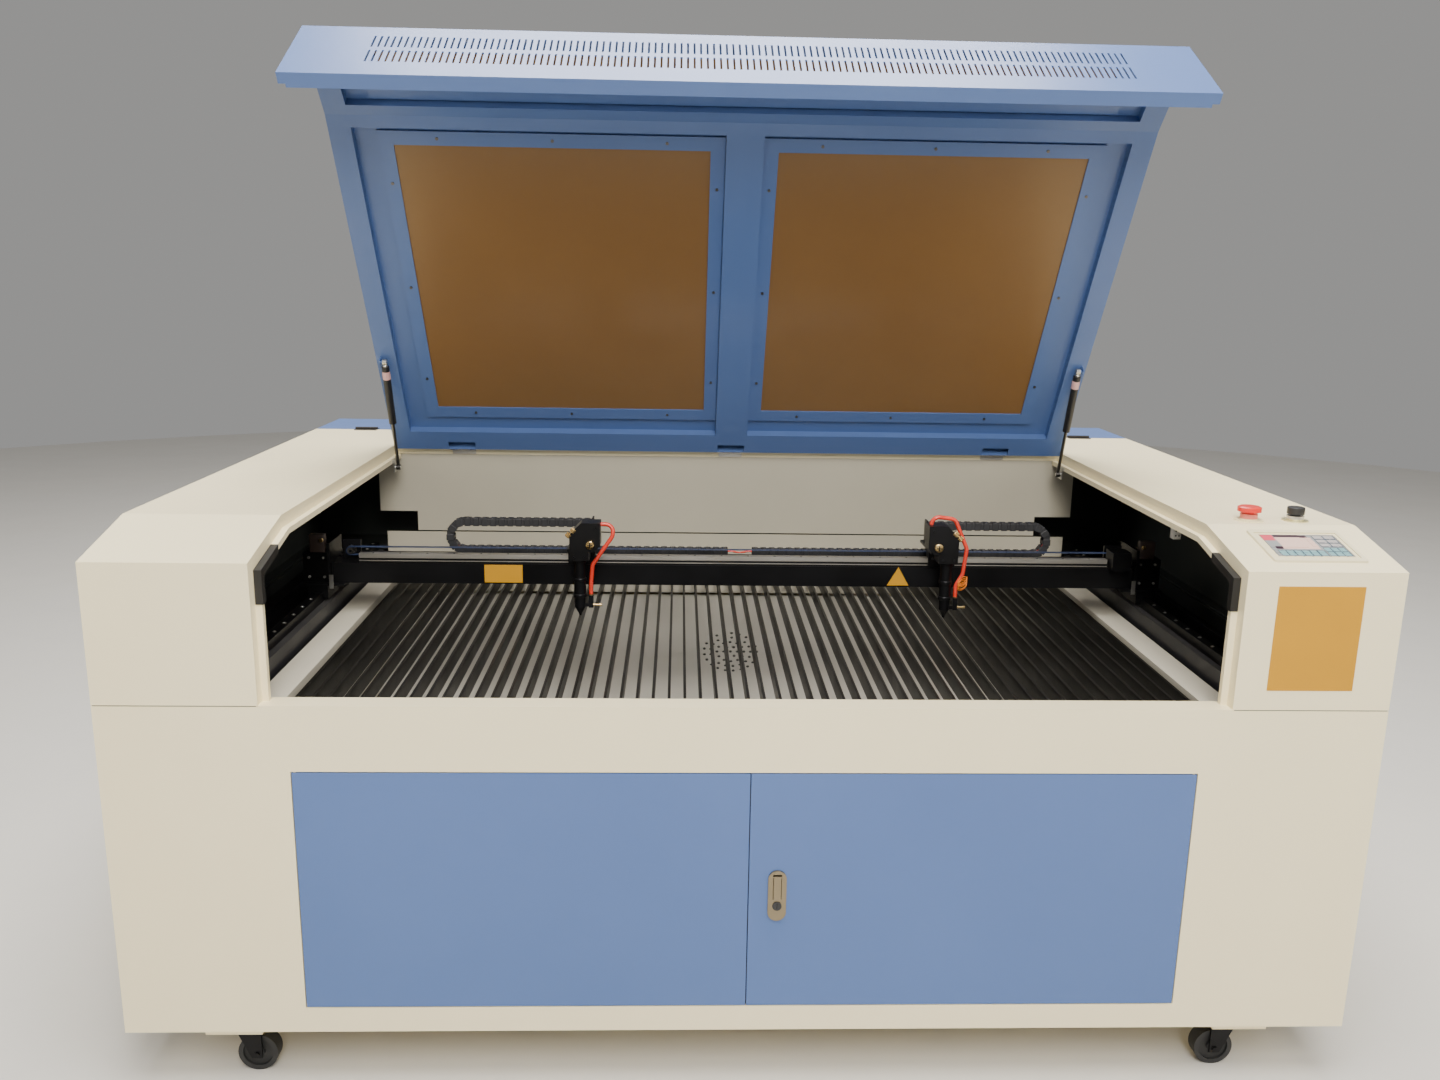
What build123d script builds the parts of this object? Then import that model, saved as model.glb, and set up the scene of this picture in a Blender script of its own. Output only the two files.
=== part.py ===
from build123d import *
import os
from math import atan2, cos, degrees, hypot, pi, radians, sin, tan

os.makedirs("parts", exist_ok=True)

# A two-headed laser cutter for acrylic sheet: steel cabinet on casters, open lid on gas struts.
# X runs along the long front, Y goes from the front to the rear, Z is up.
# The origin is on the floor, under the middle of the machine.

# Overall size
width = 2300.0
depth = 1606.0
half = width / 2
front = -depth / 2
rear = depth / 2
rear_stand = 6.0          # how far the outlet and the inlet stand off the rear wall
outlet_r = 70.0
belly_z = 115.0           # underside of the cabinet above the floor
deck_z = 758.0            # top of the lower cabinet, where the housings stand
shoulder_z = 1014.0       # top of the upright front of the housings
top_z = 1060.0
slope_depth = 185.0       # how far back the sloped front runs
sheet = 2.5

# The opening of the work area and the step the lid lies in
opening_half = 864.0
step = 22.0               # depth of the step round the opening
seat_w = 12.0             # width of the seat in the step
trim_t = 2.0              # rubber edging on the seat, which the lid comes down on
seat_deep = step + trim_t + 0.3
trim_low = shoulder_z - 79.0
trim_back = front + 118.0
seam_deep = 1.5           # groove between the cabinet and the housings
seam_high = 2.0
lid_gap = 3.0
lid_half = opening_half - lid_gap
lid_skin = 2.0
pivot_y = front + 1088.0  # the lid's hinge line
pivot_z = top_z - 6.0
open_angle = 58.0         # how far the lid stands open in the photo
lid_rear = pivot_y - 8.0
lip_y = pivot_y + 8.0     # front lip of the rear housing
deck_front = lip_y + 104.0
cover_y = rear - 230.0    # where the rear cover starts
cover_drop = 120.0
back_step = 884.0         # where the inner back panel grows wider
back_low = 833.0          # its lower edge
back_in = 48.0            # how far its two widths lie inside and outside the opening's
cover_hinges = (-1010.0, -340.0, 340.0, 1010.0)
cover_hinge_w = 62.0
cover_axis_y = cover_y - 1.0
cover_axis_z = top_z + 3.6
small_knuckle = 3.5
small_pin = 1.5

# Lid: windows, ribs, vents and hinges, measured with the lid shut
lid_under = step          # the lid's underside, just over the edging
window_x0 = 72.0
window_x1 = opening_half - 128.0
window_y0 = front + 258.0
window_y1 = pivot_y - 134.0
recess_x0 = 40.0
recess_x1 = opening_half - 50.0
recess_y0 = front + 215.0
recess_y1 = pivot_y - 65.0
strip_a = 48.0            # front window, measured up the slope
strip_b = 132.0
strip_in = 32.0           # from that window's edges to the ribs round it
pane = 3.0
tuck = 10.0               # how far a pane reaches behind the lid's skin
frame_deep = lid_skin + pane
frame_t = 3.0
border = 31.0             # width of the frames that hold the panes
screw_r = 3.5
screw_t = 2.0
flange_low = 805.0
flange_lip = 28.0
lip_half = opening_half - seat_w - 4.0
vent_count = 117
vent_pitch = 2 * (opening_half - 150.6) / (vent_count - 1)
vent_w = 4.0
vent_long = 50.0
vent_row1 = shoulder_z - 65.0
vent_row2 = shoulder_z - 129.0
hinge_spots = (-0.8 * lid_half, 0.0, 0.8 * lid_half)
notch_w = 68.0
notch_deep = 22.0
knuckle_r = 6.0

# Front doors
door_left = -813.5
door_right = 812.5
door_split = 1.0
door_low = 167.0
door_high = 633.0
door_gap = 2.0
door_thick = 20.0
door_pin_inset = 4.6      # hinge pin from the door's outer edge and from its face
pin_r = 3.0
pin_fit = 0.05            # round a hinge pin or an axle
knuckle_bore = pin_r + pin_fit
small_bore = small_pin + pin_fit
lock_x = 54.0
lock_z = 394.0
lock_w = 34.0
lock_h = 100.0
key_z = 374.0
key_r = 8.5

# Table
slat_count = 57
slat_margin = 36.0
slat_pitch = 2 * (opening_half - slat_margin) / (slat_count - 1)
slat_thick = 5.0
slat_top = 740.0
slat_high = 30.0
table_front = front + 52.0
table_rear = front + 1050.0
bar_deep = 12.0
bar_high = 25.0
shelf_t = 3.0
shelf_back = deck_front + 26.0
field_half = (slat_count - 1) / 2 * slat_pitch + 15.0
ledge_out = opening_half + 36.0
hopper_half = field_half + 2.0
chute_low = 178.0
chute_high = 676.0
grille_y = front + 862.0
grille_r = 66.0
grille_hole = 4.2

# Y axis in the side housings
rail_x = opening_half + 72.0
rail_w = 20.0
trough_z = 700.0
support_top = 775.0
rail_top = 795.0
rail_front = front + 46.0
rail_rear = front + 1120.0

# Gantry, in its photo position
nozzle_y = front + 568.0
beam_front = front + 620.0
beam_back = front + 680.0
beam_low = 816.0
beam_top = 862.0
beam_half = rail_x - 31.0
x_rail_top = 883.0
x_rail_half = beam_half - 60.0
x_rail_back = beam_front + 18.0
belt_y = beam_front + 32.0
belt_w = 10.0
belt_thick = 1.5
pulley_r = 8.0
pulley_gap = 0.3
pulley_x = beam_half - 35.0
pulley_z = 883.0
axle_r = 3.0
chain_y = front + 705.0
chain_w = 24.0
chain_t = 18.0
chain_low = 875.0         # middle of the lower run
chain_high = 941.0        # middle of the upper run
left_head_x = -349.0
right_head_x = 463.0
left_loop_x = -622.0      # middle of the chain's bend
right_loop_x = 692.0
plate_z = 899.0            # underside of the plate over the belt
head_low = 888.0
head_top = 973.0
tube_r = 13.0
tip_z = 760.0
port_z = tip_z + 24.0     # middle of the hose port
elbow_x = 24.0            # middle of its elbow, from the nozzle's middle
elbow_half = 5.0
elbow_top = tip_z + 46.0
block_near = 21.0         # mirror block, from the nozzle's middle to its two ends
block_far = 46.0
mirror_cut = 26.0         # corner that the slanted mirror plate cuts off
hose_r = 4.5
hose_bend = 16.0
chain_end = 22.0          # face of the arm that holds the chain

# Gas struts, in the lid's side plane
strut_x = opening_half - seat_w - 13.0
lower_y = pivot_y - 82.0
lower_z = top_z - 45.0
upper_reach = 290.0       # from the lid's hinge line to the upper stud
upper_dip = 27.0          # below the hinge line when the lid is shut
eye_r = 7.0
stud_r = 4.0
strut_r = 9.0
rod_r = 4.0

# Controls
estop_x = opening_half + 100.0
button_x = half - 95.0
button_y = front + 226.0
estop_r = 22.0
estop_stem = 13.0
collar_r = 16.0
cap_r = 16.0
cap_stem = 9.0
slide_fit = 0.3           # round a button's stem in its bore
panel_x0 = opening_half + 62.0
panel_x1 = half - 52.0
panel_y0 = front + 35.0
panel_y1 = front + 157.0

# Laser tubes
tube_y1 = rear - 166.0
tube_y2 = rear - 76.0
tube_z = 930.0
tube_glass_r = 30.0
tube_half = opening_half - 84.0
stand_x = 600.0

# Casters
caster_x = half - 195.0
caster_y0 = front + 62.0
caster_y1 = rear - 62.0
pad = 105.0
pad_t = 12.0
wheel_r = 37.5
wheel_w = 28.0
trail = 27.0

slope_angle = degrees(atan2(top_z - shoulder_z, slope_depth))


def block(x0, x1, y0, y1, z0, z1, mode=Mode.ADD):
    """A box between two corners."""
    with Locations(((x0 + x1) / 2, (y0 + y1) / 2, (z0 + z1) / 2)):
        Box(x1 - x0, y1 - y0, z1 - z0, mode=mode)


def side_shape(points, x0, x1, mode=Mode.ADD):
    """A flat outline of (y, z) points carried from x0 to x1."""
    with BuildSketch(Plane.YZ.offset(x0)) as outline:
        with BuildLine():
            Polyline(*points, close=True)
        make_face()
    extrude(outline.sketch, amount=x1 - x0, mode=mode)


def rod(x, y, z, radius, length, plane, mode=Mode.ADD):
    """A round bar that starts at a point and runs along the plane's normal."""
    spot = Plane(origin=(x, y, z), x_dir=plane.x_dir, z_dir=plane.z_dir)
    with BuildSketch(spot) as ring:
        Circle(radius)
    extrude(ring.sketch, amount=length, mode=mode)


def front_line(inset):
    """The corner points of the sloped front, moved inwards by inset."""
    lean = radians(slope_angle)
    shoulder = shoulder_z + inset * tan(lean) - inset / cos(lean)
    bend = front + (top_z - shoulder_z - inset + inset / cos(lean)) / tan(lean)
    return (front + inset, shoulder), (bend, top_z - inset)


def skin_shape(outer, inner, low, back):
    """A sheet that follows the front, the slope and the top between two insets."""
    a0, a1 = front_line(outer)
    b0, b1 = front_line(inner)
    return [(a0[0], low), a0, a1, (back, a1[1]), (back, b1[1]), b1, b0, (b0[0], low)]


def slope_z(y, inset=0.0):
    """Height of the sloped front at y, moved inwards by inset."""
    lean = radians(slope_angle)
    return shoulder_z + (y - front) * tan(lean) - inset / cos(lean)


def corner_shape(outer, inner, low, back):
    """A strip round the front shoulder only, ending on the slope at back."""
    a0 = front_line(outer)[0]
    b0 = front_line(inner)[0]
    return [(a0[0], low), a0, (back, slope_z(back, outer)), (back, slope_z(back, inner)), b0, (b0[0], low)]


hinge_line = Axis((0, pivot_y, pivot_z), (1, 0, 0))
backwards = Plane(origin=(0, 0, 0), x_dir=(1, 0, 0), z_dir=(0, 1, 0))
cross = Plane(origin=(0, 0, 0), x_dir=(0, 1, 0), z_dir=(1, 0, 0))


# Lower cabinet: an open-topped steel box with a door opening, feet pads and hinge pins
with BuildPart() as cabinet_body:
    block(-half, half, front, rear, belly_z, deck_z)
    block(-half + sheet, half - sheet, front + sheet, rear - sheet, belly_z + sheet, deck_z + 1, Mode.SUBTRACT)
    # shadow groove under the housings
    for side in (-1, 1):
        x0, x1 = sorted((side * opening_half, side * (half + 1)))
        block(x0, x1, front - 1, front + seam_deep, deck_z - seam_high, deck_z + 1, Mode.SUBTRACT)
        x0, x1 = sorted((side * (half - seam_deep), side * (half + 1)))
        block(x0, x1, front - 1, rear + 1, deck_z - seam_high, deck_z + 1, Mode.SUBTRACT)
    block(-half - 1, half + 1, rear - seam_deep, rear + 1, deck_z - seam_high, deck_z + 1, Mode.SUBTRACT)
    # folded top edge, wide at the front where it is seen as a ledge
    block(-half + sheet, half - sheet, front + sheet, front + 45, deck_z - sheet, deck_z)
    block(-half + sheet, half - sheet, rear - 40, rear - sheet, deck_z - sheet, deck_z)
    for side in (-1, 1):
        x0, x1 = sorted((side * (half - sheet), side * (half - 40)))
        block(x0, x1, front + 45, rear - 40, deck_z - sheet, deck_z)
    # door frame: a fold back from the opening and a stop lip behind the doors
    block(door_left - 10, door_right + 10, front + sheet, front + 24, door_low - 10, door_high + 10)
    block(door_left - door_gap, door_right + door_gap, front - 1, front + 22,
          door_low - door_gap, door_high + door_gap, Mode.SUBTRACT)
    block(door_left + 13, door_right - 13, front - 1, front + 25, door_low + 13, door_high - 13, Mode.SUBTRACT)
    # hinge pins that stand in the top and bottom of the frame
    for pin_x in (door_left + door_pin_inset, door_right - door_pin_inset):
        rod(pin_x, front + door_pin_inset, door_low - door_gap, pin_r, 18, Plane.XY)
        rod(pin_x, front + door_pin_inset, door_high + door_gap - 18, pin_r, 18, Plane.XY)
    # foot pads over the casters
    for cx in (-caster_x, caster_x):
        for cy in (caster_y0, caster_y1):
            block(cx - pad / 2, cx + pad / 2, cy - pad / 2, cy + pad / 2, belly_z - pad_t, belly_z)
    # collar for the extraction hose and cooling slots in the rear wall
    rod(-520, rear - 20, 330, outlet_r + 3, 20 + rear_stand, backwards)
    rod(-520, rear - 30, 330, outlet_r, 60, backwards, Mode.SUBTRACT)
    with Locations((560, rear, 300)):
        with GridLocations(14, 1, 12, 1):
            Box(5, 20, 120, mode=Mode.SUBTRACT)
cabinet_body.part.label = "cabinet_body"
export_step(cabinet_body.part, "parts/cabinet_body.step")

# Power inlet, plain
with BuildPart() as power_inlet:
    block(-60, 20, rear, rear + rear_stand - 1, 220, 300)
    block(-48, 8, rear + 2, rear + rear_stand, 232, 262, Mode.SUBTRACT)
    block(-44, 4, rear + rear_stand - 1.1, rear + rear_stand, 272, 292)
power_inlet.part.label = "power_inlet"
export_step(power_inlet.part, "parts/power_inlet.step")


# Front doors: folded pans with corner blocks that take the hinge pins
def door_pan(x0, x1, pin_x):
    """One door leaf between x0 and x1, hinged at pin_x."""
    block(x0, x1, front, front + door_thick, door_low, door_high)
    block(x0 + 2, x1 - 2, front + 2, front + door_thick + 1, door_low + 2, door_high - 2, Mode.SUBTRACT)
    near = x0 if abs(pin_x - x0) < abs(pin_x - x1) else x1 - 14
    block(near, near + 14, front, front + 14, door_low, door_low + 22)
    block(near, near + 14, front, front + 14, door_high - 22, door_high)
    rod(pin_x, front + door_pin_inset, door_low - 1, pin_r + pin_fit, 19, Plane.XY, Mode.SUBTRACT)
    rod(pin_x, front + door_pin_inset, door_high - 18, pin_r + pin_fit, 20, Plane.XY, Mode.SUBTRACT)


with BuildPart() as front_door_left:
    door_pan(door_left, door_split - door_gap / 2, door_left + door_pin_inset)
front_door_left.part.label = "front_door_left"
export_step(front_door_left.part, "parts/front_door_left.step")

with BuildPart() as front_door_right:
    door_pan(door_split + door_gap / 2, door_right, door_right - door_pin_inset)
    # the hole for the lock
    lock_face = Plane(origin=(lock_x, front - 1, lock_z), x_dir=(1, 0, 0), z_dir=(0, 1, 0))
    with BuildSketch(lock_face):
        SlotOverall(lock_h - 8, lock_w - 8, rotation=90)
    extrude(amount=6, mode=Mode.SUBTRACT)
front_door_right.part.label = "front_door_right"
export_step(front_door_right.part, "parts/front_door_right.step")

# Oval flush lock: a dished plate, a lifting handle above and a key barrel below
handle_low = key_z + 14
handle_high = lock_z + 40
handle_w = 15.0
handle_pin_y = front - 2
handle_pin_z = handle_high - 4
with BuildPart() as door_lock_plate:
    with BuildSketch(Plane(origin=(lock_x, front - 4, lock_z), x_dir=(1, 0, 0), z_dir=(0, 1, 0))):
        SlotOverall(lock_h, lock_w, rotation=90)
    extrude(amount=4)
    with BuildSketch(Plane(origin=(lock_x, front, lock_z), x_dir=(1, 0, 0), z_dir=(0, 1, 0))):
        SlotOverall(lock_h - 9, lock_w - 9, rotation=90)
    extrude(amount=18)
    block(lock_x - handle_w / 2 - 0.6, lock_x + handle_w / 2 + 0.6, front - 5, front + 9,
          handle_low - 1, handle_high + 2.5, Mode.SUBTRACT)
    rod(lock_x, front - 5, key_z, key_r + pin_fit, 30, backwards, Mode.SUBTRACT)
    rod(lock_x - handle_w / 2 - 2, handle_pin_y, handle_pin_z, small_pin, handle_w + 4, cross)
door_lock_plate.part.label = "door_lock_plate"
export_step(door_lock_plate.part, "parts/door_lock_plate.step")

with BuildPart() as door_lock_handle:
    block(lock_x - handle_w / 2, lock_x + handle_w / 2, front - 6, front + 2, handle_low, handle_high)
    fillet(door_lock_handle.edges().group_by(Axis.Y)[0].filter_by(Axis.Z), radius=2)
    rod(lock_x - handle_w, handle_pin_y, handle_pin_z, small_bore, handle_w * 2, cross, Mode.SUBTRACT)
door_lock_handle.part.label = "door_lock_handle"
export_step(door_lock_handle.part, "parts/door_lock_handle.step")

barrel_plane = Plane(origin=(lock_x, front - 6, key_z), x_dir=(1, 0, 0), z_dir=(0, 1, 0))
with BuildPart() as lock_cylinder:
    with BuildSketch(barrel_plane):
        Circle(key_r)
    extrude(amount=6 + door_thick + 1)
    block(lock_x - 1, lock_x + 1, front - 7, front - 4, key_z - 5, key_z + 5, Mode.SUBTRACT)
    # cam that catches behind the other leaf
    block(lock_x - 8, lock_x + 8, front + door_thick + 1, front + door_thick + 4, key_z - 8, key_z + 77)
lock_cylinder.part.label = "lock_cylinder"
export_step(lock_cylinder.part, "parts/lock_cylinder.step")


# Side housings: sheet shells that are open towards the work area
def housing(side):
    """One side housing, on the side given by -1 or 1."""
    a = side * opening_half
    b = side * half
    x0, x1 = sorted((a, b))
    side_shape([(front, deck_z)] + list(front_line(0)) + [(rear, top_z), (rear, deck_z)], x0, x1)
    inner0, inner1 = sorted((side * (opening_half - 1), side * (half - sheet)))
    inside = [(front + sheet, deck_z - 1)] + list(front_line(sheet)) + [(rear + 1, top_z - sheet), (rear + 1, deck_z - 1)]
    side_shape(inside, inner0, inner1, Mode.SUBTRACT)
    # the rear cover lies over the last stretch
    cut0, cut1 = sorted((side * (opening_half - 1), side * (half + 1)))
    block(cut0, cut1, cover_y - 2, rear + 1, top_z - 4, top_z + 1, Mode.SUBTRACT)
    # stepped rim for the lid
    wall0, wall1 = sorted((side * opening_half, side * (opening_half + sheet)))
    side_shape(skin_shape(0, seat_deep + sheet, deck_z, lip_y), wall0, wall1)
    seat0, seat1 = sorted((side * (opening_half - seat_w), side * (opening_half + sheet)))
    side_shape(skin_shape(seat_deep, seat_deep + sheet, deck_z, lip_y), seat0, seat1)
    lip0, lip1 = sorted((side * (opening_half - seat_w), side * (opening_half - seat_w + 2)))
    side_shape(skin_shape(seat_deep, seat_deep + 11, deck_z, lip_y), lip0, lip1)
    # bottom flange that stands on the cabinet
    foot0, foot1 = sorted((side * (half - sheet), side * (half - 30)))
    block(foot0, foot1, front + sheet, rear - 30, deck_z, deck_z + sheet)


with BuildPart() as left_housing:
    housing(-1)
left_housing.part.label = "left_housing"
export_step(left_housing.part, "parts/left_housing.step")

with BuildPart() as right_housing:
    housing(1)
right_housing.part.label = "right_housing"
export_step(right_housing.part, "parts/right_housing.step")

# Rear housing: the white top behind the lid, the rear wall and the deck of the tube room
with BuildPart() as rear_housing:
    block(-opening_half, opening_half, lip_y, cover_y - 2, top_z - sheet, top_z)
    block(-opening_half, opening_half, lip_y, lip_y + sheet, top_z - 24, top_z)
    block(-half + sheet, half - sheet, rear - sheet, rear, deck_z, top_z - cover_drop - 2)
    block(-half + 31, half - 31, deck_front, rear - sheet, deck_z, deck_z + sheet)
    # cross wall under the front edge of the rear cover
    block(-half + sheet, half - sheet, cover_y - 12, cover_y - 12 + sheet, deck_z + sheet, top_z - sheet)
    block(-opening_half, opening_half, cover_y - 12, cover_y - 3, top_z - 20, top_z - sheet)
    # stands that cradle the laser tubes
    for sx in (-stand_x, stand_x):
        block(sx - 20, sx + 20, tube_y1 - 45, tube_y2 + 45, deck_z, tube_z)
    for ty in (tube_y1, tube_y2):
        rod(-tube_half, ty, tube_z, tube_glass_r, 2 * tube_half, cross, Mode.SUBTRACT)
rear_housing.part.label = "rear_housing"
export_step(rear_housing.part, "parts/rear_housing.step")

# Blue rear cover, hinged along its front edge
with BuildPart() as rear_cover:
    block(-half, half, cover_y, rear, top_z - sheet, top_z)
    block(-half + sheet + 1, half - sheet - 1, rear - sheet, rear, top_z - cover_drop, top_z)
    block(-half + 5, half - 5, cover_y + 0.5, cover_y + 3, top_z - 18, top_z)
    # moving leaves of its hinges, with the outer two knuckles each
    for hx in cover_hinges:
        block(hx - cover_hinge_w / 2, hx + cover_hinge_w / 2, cover_axis_y + 4, cover_axis_y + 20, top_z, top_z + 1.5)
        for k0, k1 in ((hx - cover_hinge_w / 2, hx - 10.5), (hx + 10.5, hx + cover_hinge_w / 2)):
            block(k0, k1, cover_axis_y, cover_axis_y + 5, top_z + 0.3, top_z + 1.5)
            rod(k0, cover_axis_y, cover_axis_z, small_knuckle, k1 - k0, cross)
            rod(k0 - 1, cover_axis_y, cover_axis_z, small_bore, k1 - k0 + 2, cross, Mode.SUBTRACT)
rear_cover.part.label = "rear_cover"
export_step(rear_cover.part, "parts/rear_cover.step")

# Light panel that closes the back of the work area
with BuildPart() as inner_back_panel:
    panel_front = lip_y + sheet
    panel_back = panel_front + sheet
    back_wide = opening_half + back_in
    back_slim = opening_half - back_in
    block(-back_wide, back_wide, panel_front, panel_back, back_step, top_z - 24)
    block(-back_slim, back_slim, panel_front, panel_back, back_low, back_step + 1)
    block(-opening_half, opening_half, panel_front, panel_back, top_z - 25, top_z - sheet)
inner_back_panel.part.label = "inner_back_panel"
export_step(inner_back_panel.part, "parts/inner_back_panel.step")

# Rubber edging clipped on the rim where it bends
with BuildPart() as edge_trims:
    for side in (-1, 1):
        # wrapped round the lip of the seat
        inner = side * (opening_half - seat_w)
        e0, e1 = sorted((inner - side * 2.5, inner + side * 4.5))
        side_shape(corner_shape(seat_deep - trim_t, seat_deep + 13, trim_low, trim_back), e0, e1)
        s0, s1 = sorted((inner, side * opening_half))
        side_shape(skin_shape(seat_deep, seat_deep + sheet, deck_z, lip_y), s0, s1, Mode.SUBTRACT)
        c0, c1 = sorted((inner, inner + side * 2))
        side_shape(skin_shape(seat_deep, seat_deep + 11, deck_z, lip_y), c0, c1, Mode.SUBTRACT)
        # flat over the seat
        f0, f1 = sorted((inner - side * 2.5, side * (opening_half - 1)))
        side_shape(corner_shape(seat_deep - trim_t, seat_deep, trim_low, trim_back), f0, f1)
edge_trims.part.label = "edge_trims"
export_step(edge_trims.part, "parts/edge_trims.step")

# Table: blades on edge over a hopper whose floor slopes to the front doors
with BuildPart() as table_slats:
    with Locations((0, (table_front + table_rear) / 2, slat_top - slat_high / 2)):
        with GridLocations(slat_pitch, 1, slat_count, 1):
            Box(slat_thick, table_rear - table_front - 8, slat_high)
table_slats.part.label = "table_slats"
export_step(table_slats.part, "parts/table_slats.step")

ledge_top = slat_top + 2
with BuildPart() as table_frame:
    block(-ledge_out, ledge_out, table_front, table_rear, ledge_top - 42, ledge_top)
    block(-field_half, field_half, table_front + 4, table_rear - 4, ledge_top - 43, ledge_top + 1, Mode.SUBTRACT)
    for side in (-1, 1):
        h0, h1 = sorted((side * (field_half + 3), side * (ledge_out - 3)))
        block(h0, h1, table_front + 3, table_rear - 3, ledge_top - 43, ledge_top - 3, Mode.SUBTRACT)
    # two cross bars carry the blades' ends
    bar_top = slat_top - slat_high
    for bar_y in (table_front, table_rear - bar_deep):
        block(-ledge_out, ledge_out, bar_y, bar_y + bar_deep, bar_top - bar_high, bar_top)
    # a folded shelf closes the well from the blades back to the rear deck
    shelf_top = slat_top - 1
    block(-ledge_out, ledge_out, table_rear - 2, shelf_back, shelf_top - shelf_t, shelf_top)
    block(-ledge_out, ledge_out, shelf_back - shelf_t, shelf_back, shelf_top - shelf_t, deck_z - 0.3)
table_frame.part.label = "table_frame"
export_step(table_frame.part, "parts/table_frame.step")

chute_front = front + 70
chute_back = front + 1050
chute_lean = degrees(atan2(chute_high - chute_low, chute_back - chute_front))
grille_z = chute_low + (grille_y - chute_front) * tan(radians(chute_lean))
chute_up = (0, -sin(radians(chute_lean)), cos(radians(chute_lean)))
grille_plane = Plane(origin=(0, grille_y, grille_z), x_dir=(1, 0, 0), z_dir=chute_up)
with BuildPart() as scrap_hopper:
    wall_shape = [(chute_front, chute_low), (chute_front, bar_top - bar_high), (chute_back, bar_top - bar_high),
                  (chute_back, chute_high)]
    side_shape([(chute_front, chute_low), (chute_back, chute_high), (chute_back, chute_high - sheet),
                (chute_front, chute_low - sheet)], -hopper_half, hopper_half)
    side_shape(wall_shape, -hopper_half, -hopper_half + sheet)
    side_shape(wall_shape, hopper_half - sheet, hopper_half)
    # rings of suction holes
    with BuildSketch(grille_plane.offset(-8)):
        RegularPolygon(grille_hole, 10)
        for ring, count in ((0.26, 6), (0.51, 12), (0.76, 17), (1.0, 21)):
            with PolarLocations(grille_r * ring, count):
                RegularPolygon(grille_hole, 10)
    extrude(amount=16, mode=Mode.SUBTRACT)
scrap_hopper.part.label = "scrap_hopper"
export_step(scrap_hopper.part, "parts/scrap_hopper.step")

# Dark troughs in the housings, with the raised supports of the Y rails
with BuildPart() as side_troughs:
    for side in (-1, 1):
        t0, t1 = sorted((side * ledge_out, side * (half - sheet)))
        block(t0, t1, front + 46, rail_rear + 60, trough_z - 2, trough_z)
        s0, s1 = sorted((side * (rail_x - 25), side * (rail_x + 25)))
        block(s0, s1, rail_front, rail_rear, trough_z, support_top)
        block(s0 + 3, s1 - 3, rail_front - 1, rail_rear + 1, trough_z + 3, support_top - 4, Mode.SUBTRACT)
        w0, w1 = sorted((side * (half - sheet - 90), side * (half - sheet - 86)))
        block(w0, w1, front + 46, rail_rear + 60, trough_z, trough_z + 46)
side_troughs.part.label = "side_troughs"
export_step(side_troughs.part, "parts/side_troughs.step")

with BuildPart() as y_guide_rails:
    for side in (-1, 1):
        g0, g1 = side * rail_x - rail_w / 2, side * rail_x + rail_w / 2
        block(g0, g1, rail_front, rail_rear, support_top, rail_top)
y_guide_rails.part.label = "y_guide_rails"
export_step(y_guide_rails.part, "parts/y_guide_rails.step")

# Gantry: beam with its chain tray, guide rail and end carriages
with BuildPart() as gantry_beam:
    block(-beam_half, beam_half, beam_front, beam_back, beam_low, beam_top)
    block(-beam_half - 1, beam_half + 1, beam_front + 4, beam_back - 4, beam_low + 4, beam_top - 4, Mode.SUBTRACT)
    block(-beam_half, beam_half, beam_back - 0.1, beam_back + 3, beam_low, chain_low - chain_t / 2)
    block(-beam_half, beam_half, beam_back, chain_y + chain_w / 2 + 3, chain_low - chain_t / 2 - 4,
          chain_low - chain_t / 2)
gantry_beam.part.label = "gantry_beam"
export_step(gantry_beam.part, "parts/gantry_beam.step")

with BuildPart() as x_guide_rail:
    block(-x_rail_half, x_rail_half, beam_front + 2, x_rail_back, beam_top, x_rail_top)
    groove = beam_top + 8
    block(-x_rail_half - 1, x_rail_half + 1, beam_front + 1, beam_front + 5, groove, groove + 4, Mode.SUBTRACT)
    block(-x_rail_half - 1, x_rail_half + 1, x_rail_back - 3, x_rail_back + 1, groove, groove + 4, Mode.SUBTRACT)
x_guide_rail.part.label = "x_guide_rail"
export_step(x_guide_rail.part, "parts/x_guide_rail.step")

with BuildPart() as end_carriages:
    for side in (-1, 1):
        p0, p1 = sorted((side * (beam_half - 30), side * (rail_x + 34)))
        block(p0, p1, beam_front - 15, beam_back + 25, beam_low - 4, beam_low)
        q0, q1 = sorted((side * beam_half, side * (beam_half + 6)))
        block(q0, q1, beam_front - 15, beam_back + 25, beam_low, x_rail_top + 26)
        c0, c1 = side * rail_x - 22, side * rail_x + 22
        block(c0, c1, beam_front - 10, beam_back + 10, rail_top - 14, beam_low - 4)
        block(side * rail_x - rail_w / 2, side * rail_x + rail_w / 2, beam_front - 11, beam_back + 11,
              rail_top - 15, rail_top, Mode.SUBTRACT)
        # a guard block outboard of the plate, as seen against the dark housing
        o0, o1 = sorted((side * (beam_half + 6), side * (rail_x + 34)))
        block(o0, o1, beam_front + 5, beam_back, beam_low, x_rail_top)
end_carriages.part.label = "end_carriages"
export_step(end_carriages.part, "parts/end_carriages.step")

# One toothed belt pulls both heads; its two runs lie over the rail
with BuildPart() as x_belt:
    with BuildSketch(Plane(origin=(0, belt_y, pulley_z), x_dir=(1, 0, 0), z_dir=(0, -1, 0))):
        SlotCenterToCenter(2 * pulley_x, 2 * (pulley_r + pulley_gap + belt_thick))
        SlotCenterToCenter(2 * pulley_x, 2 * (pulley_r + pulley_gap), mode=Mode.SUBTRACT)
    extrude(amount=belt_w / 2, both=True)
x_belt.part.label = "x_belt"
export_step(x_belt.part, "parts/x_belt.step")

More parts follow.
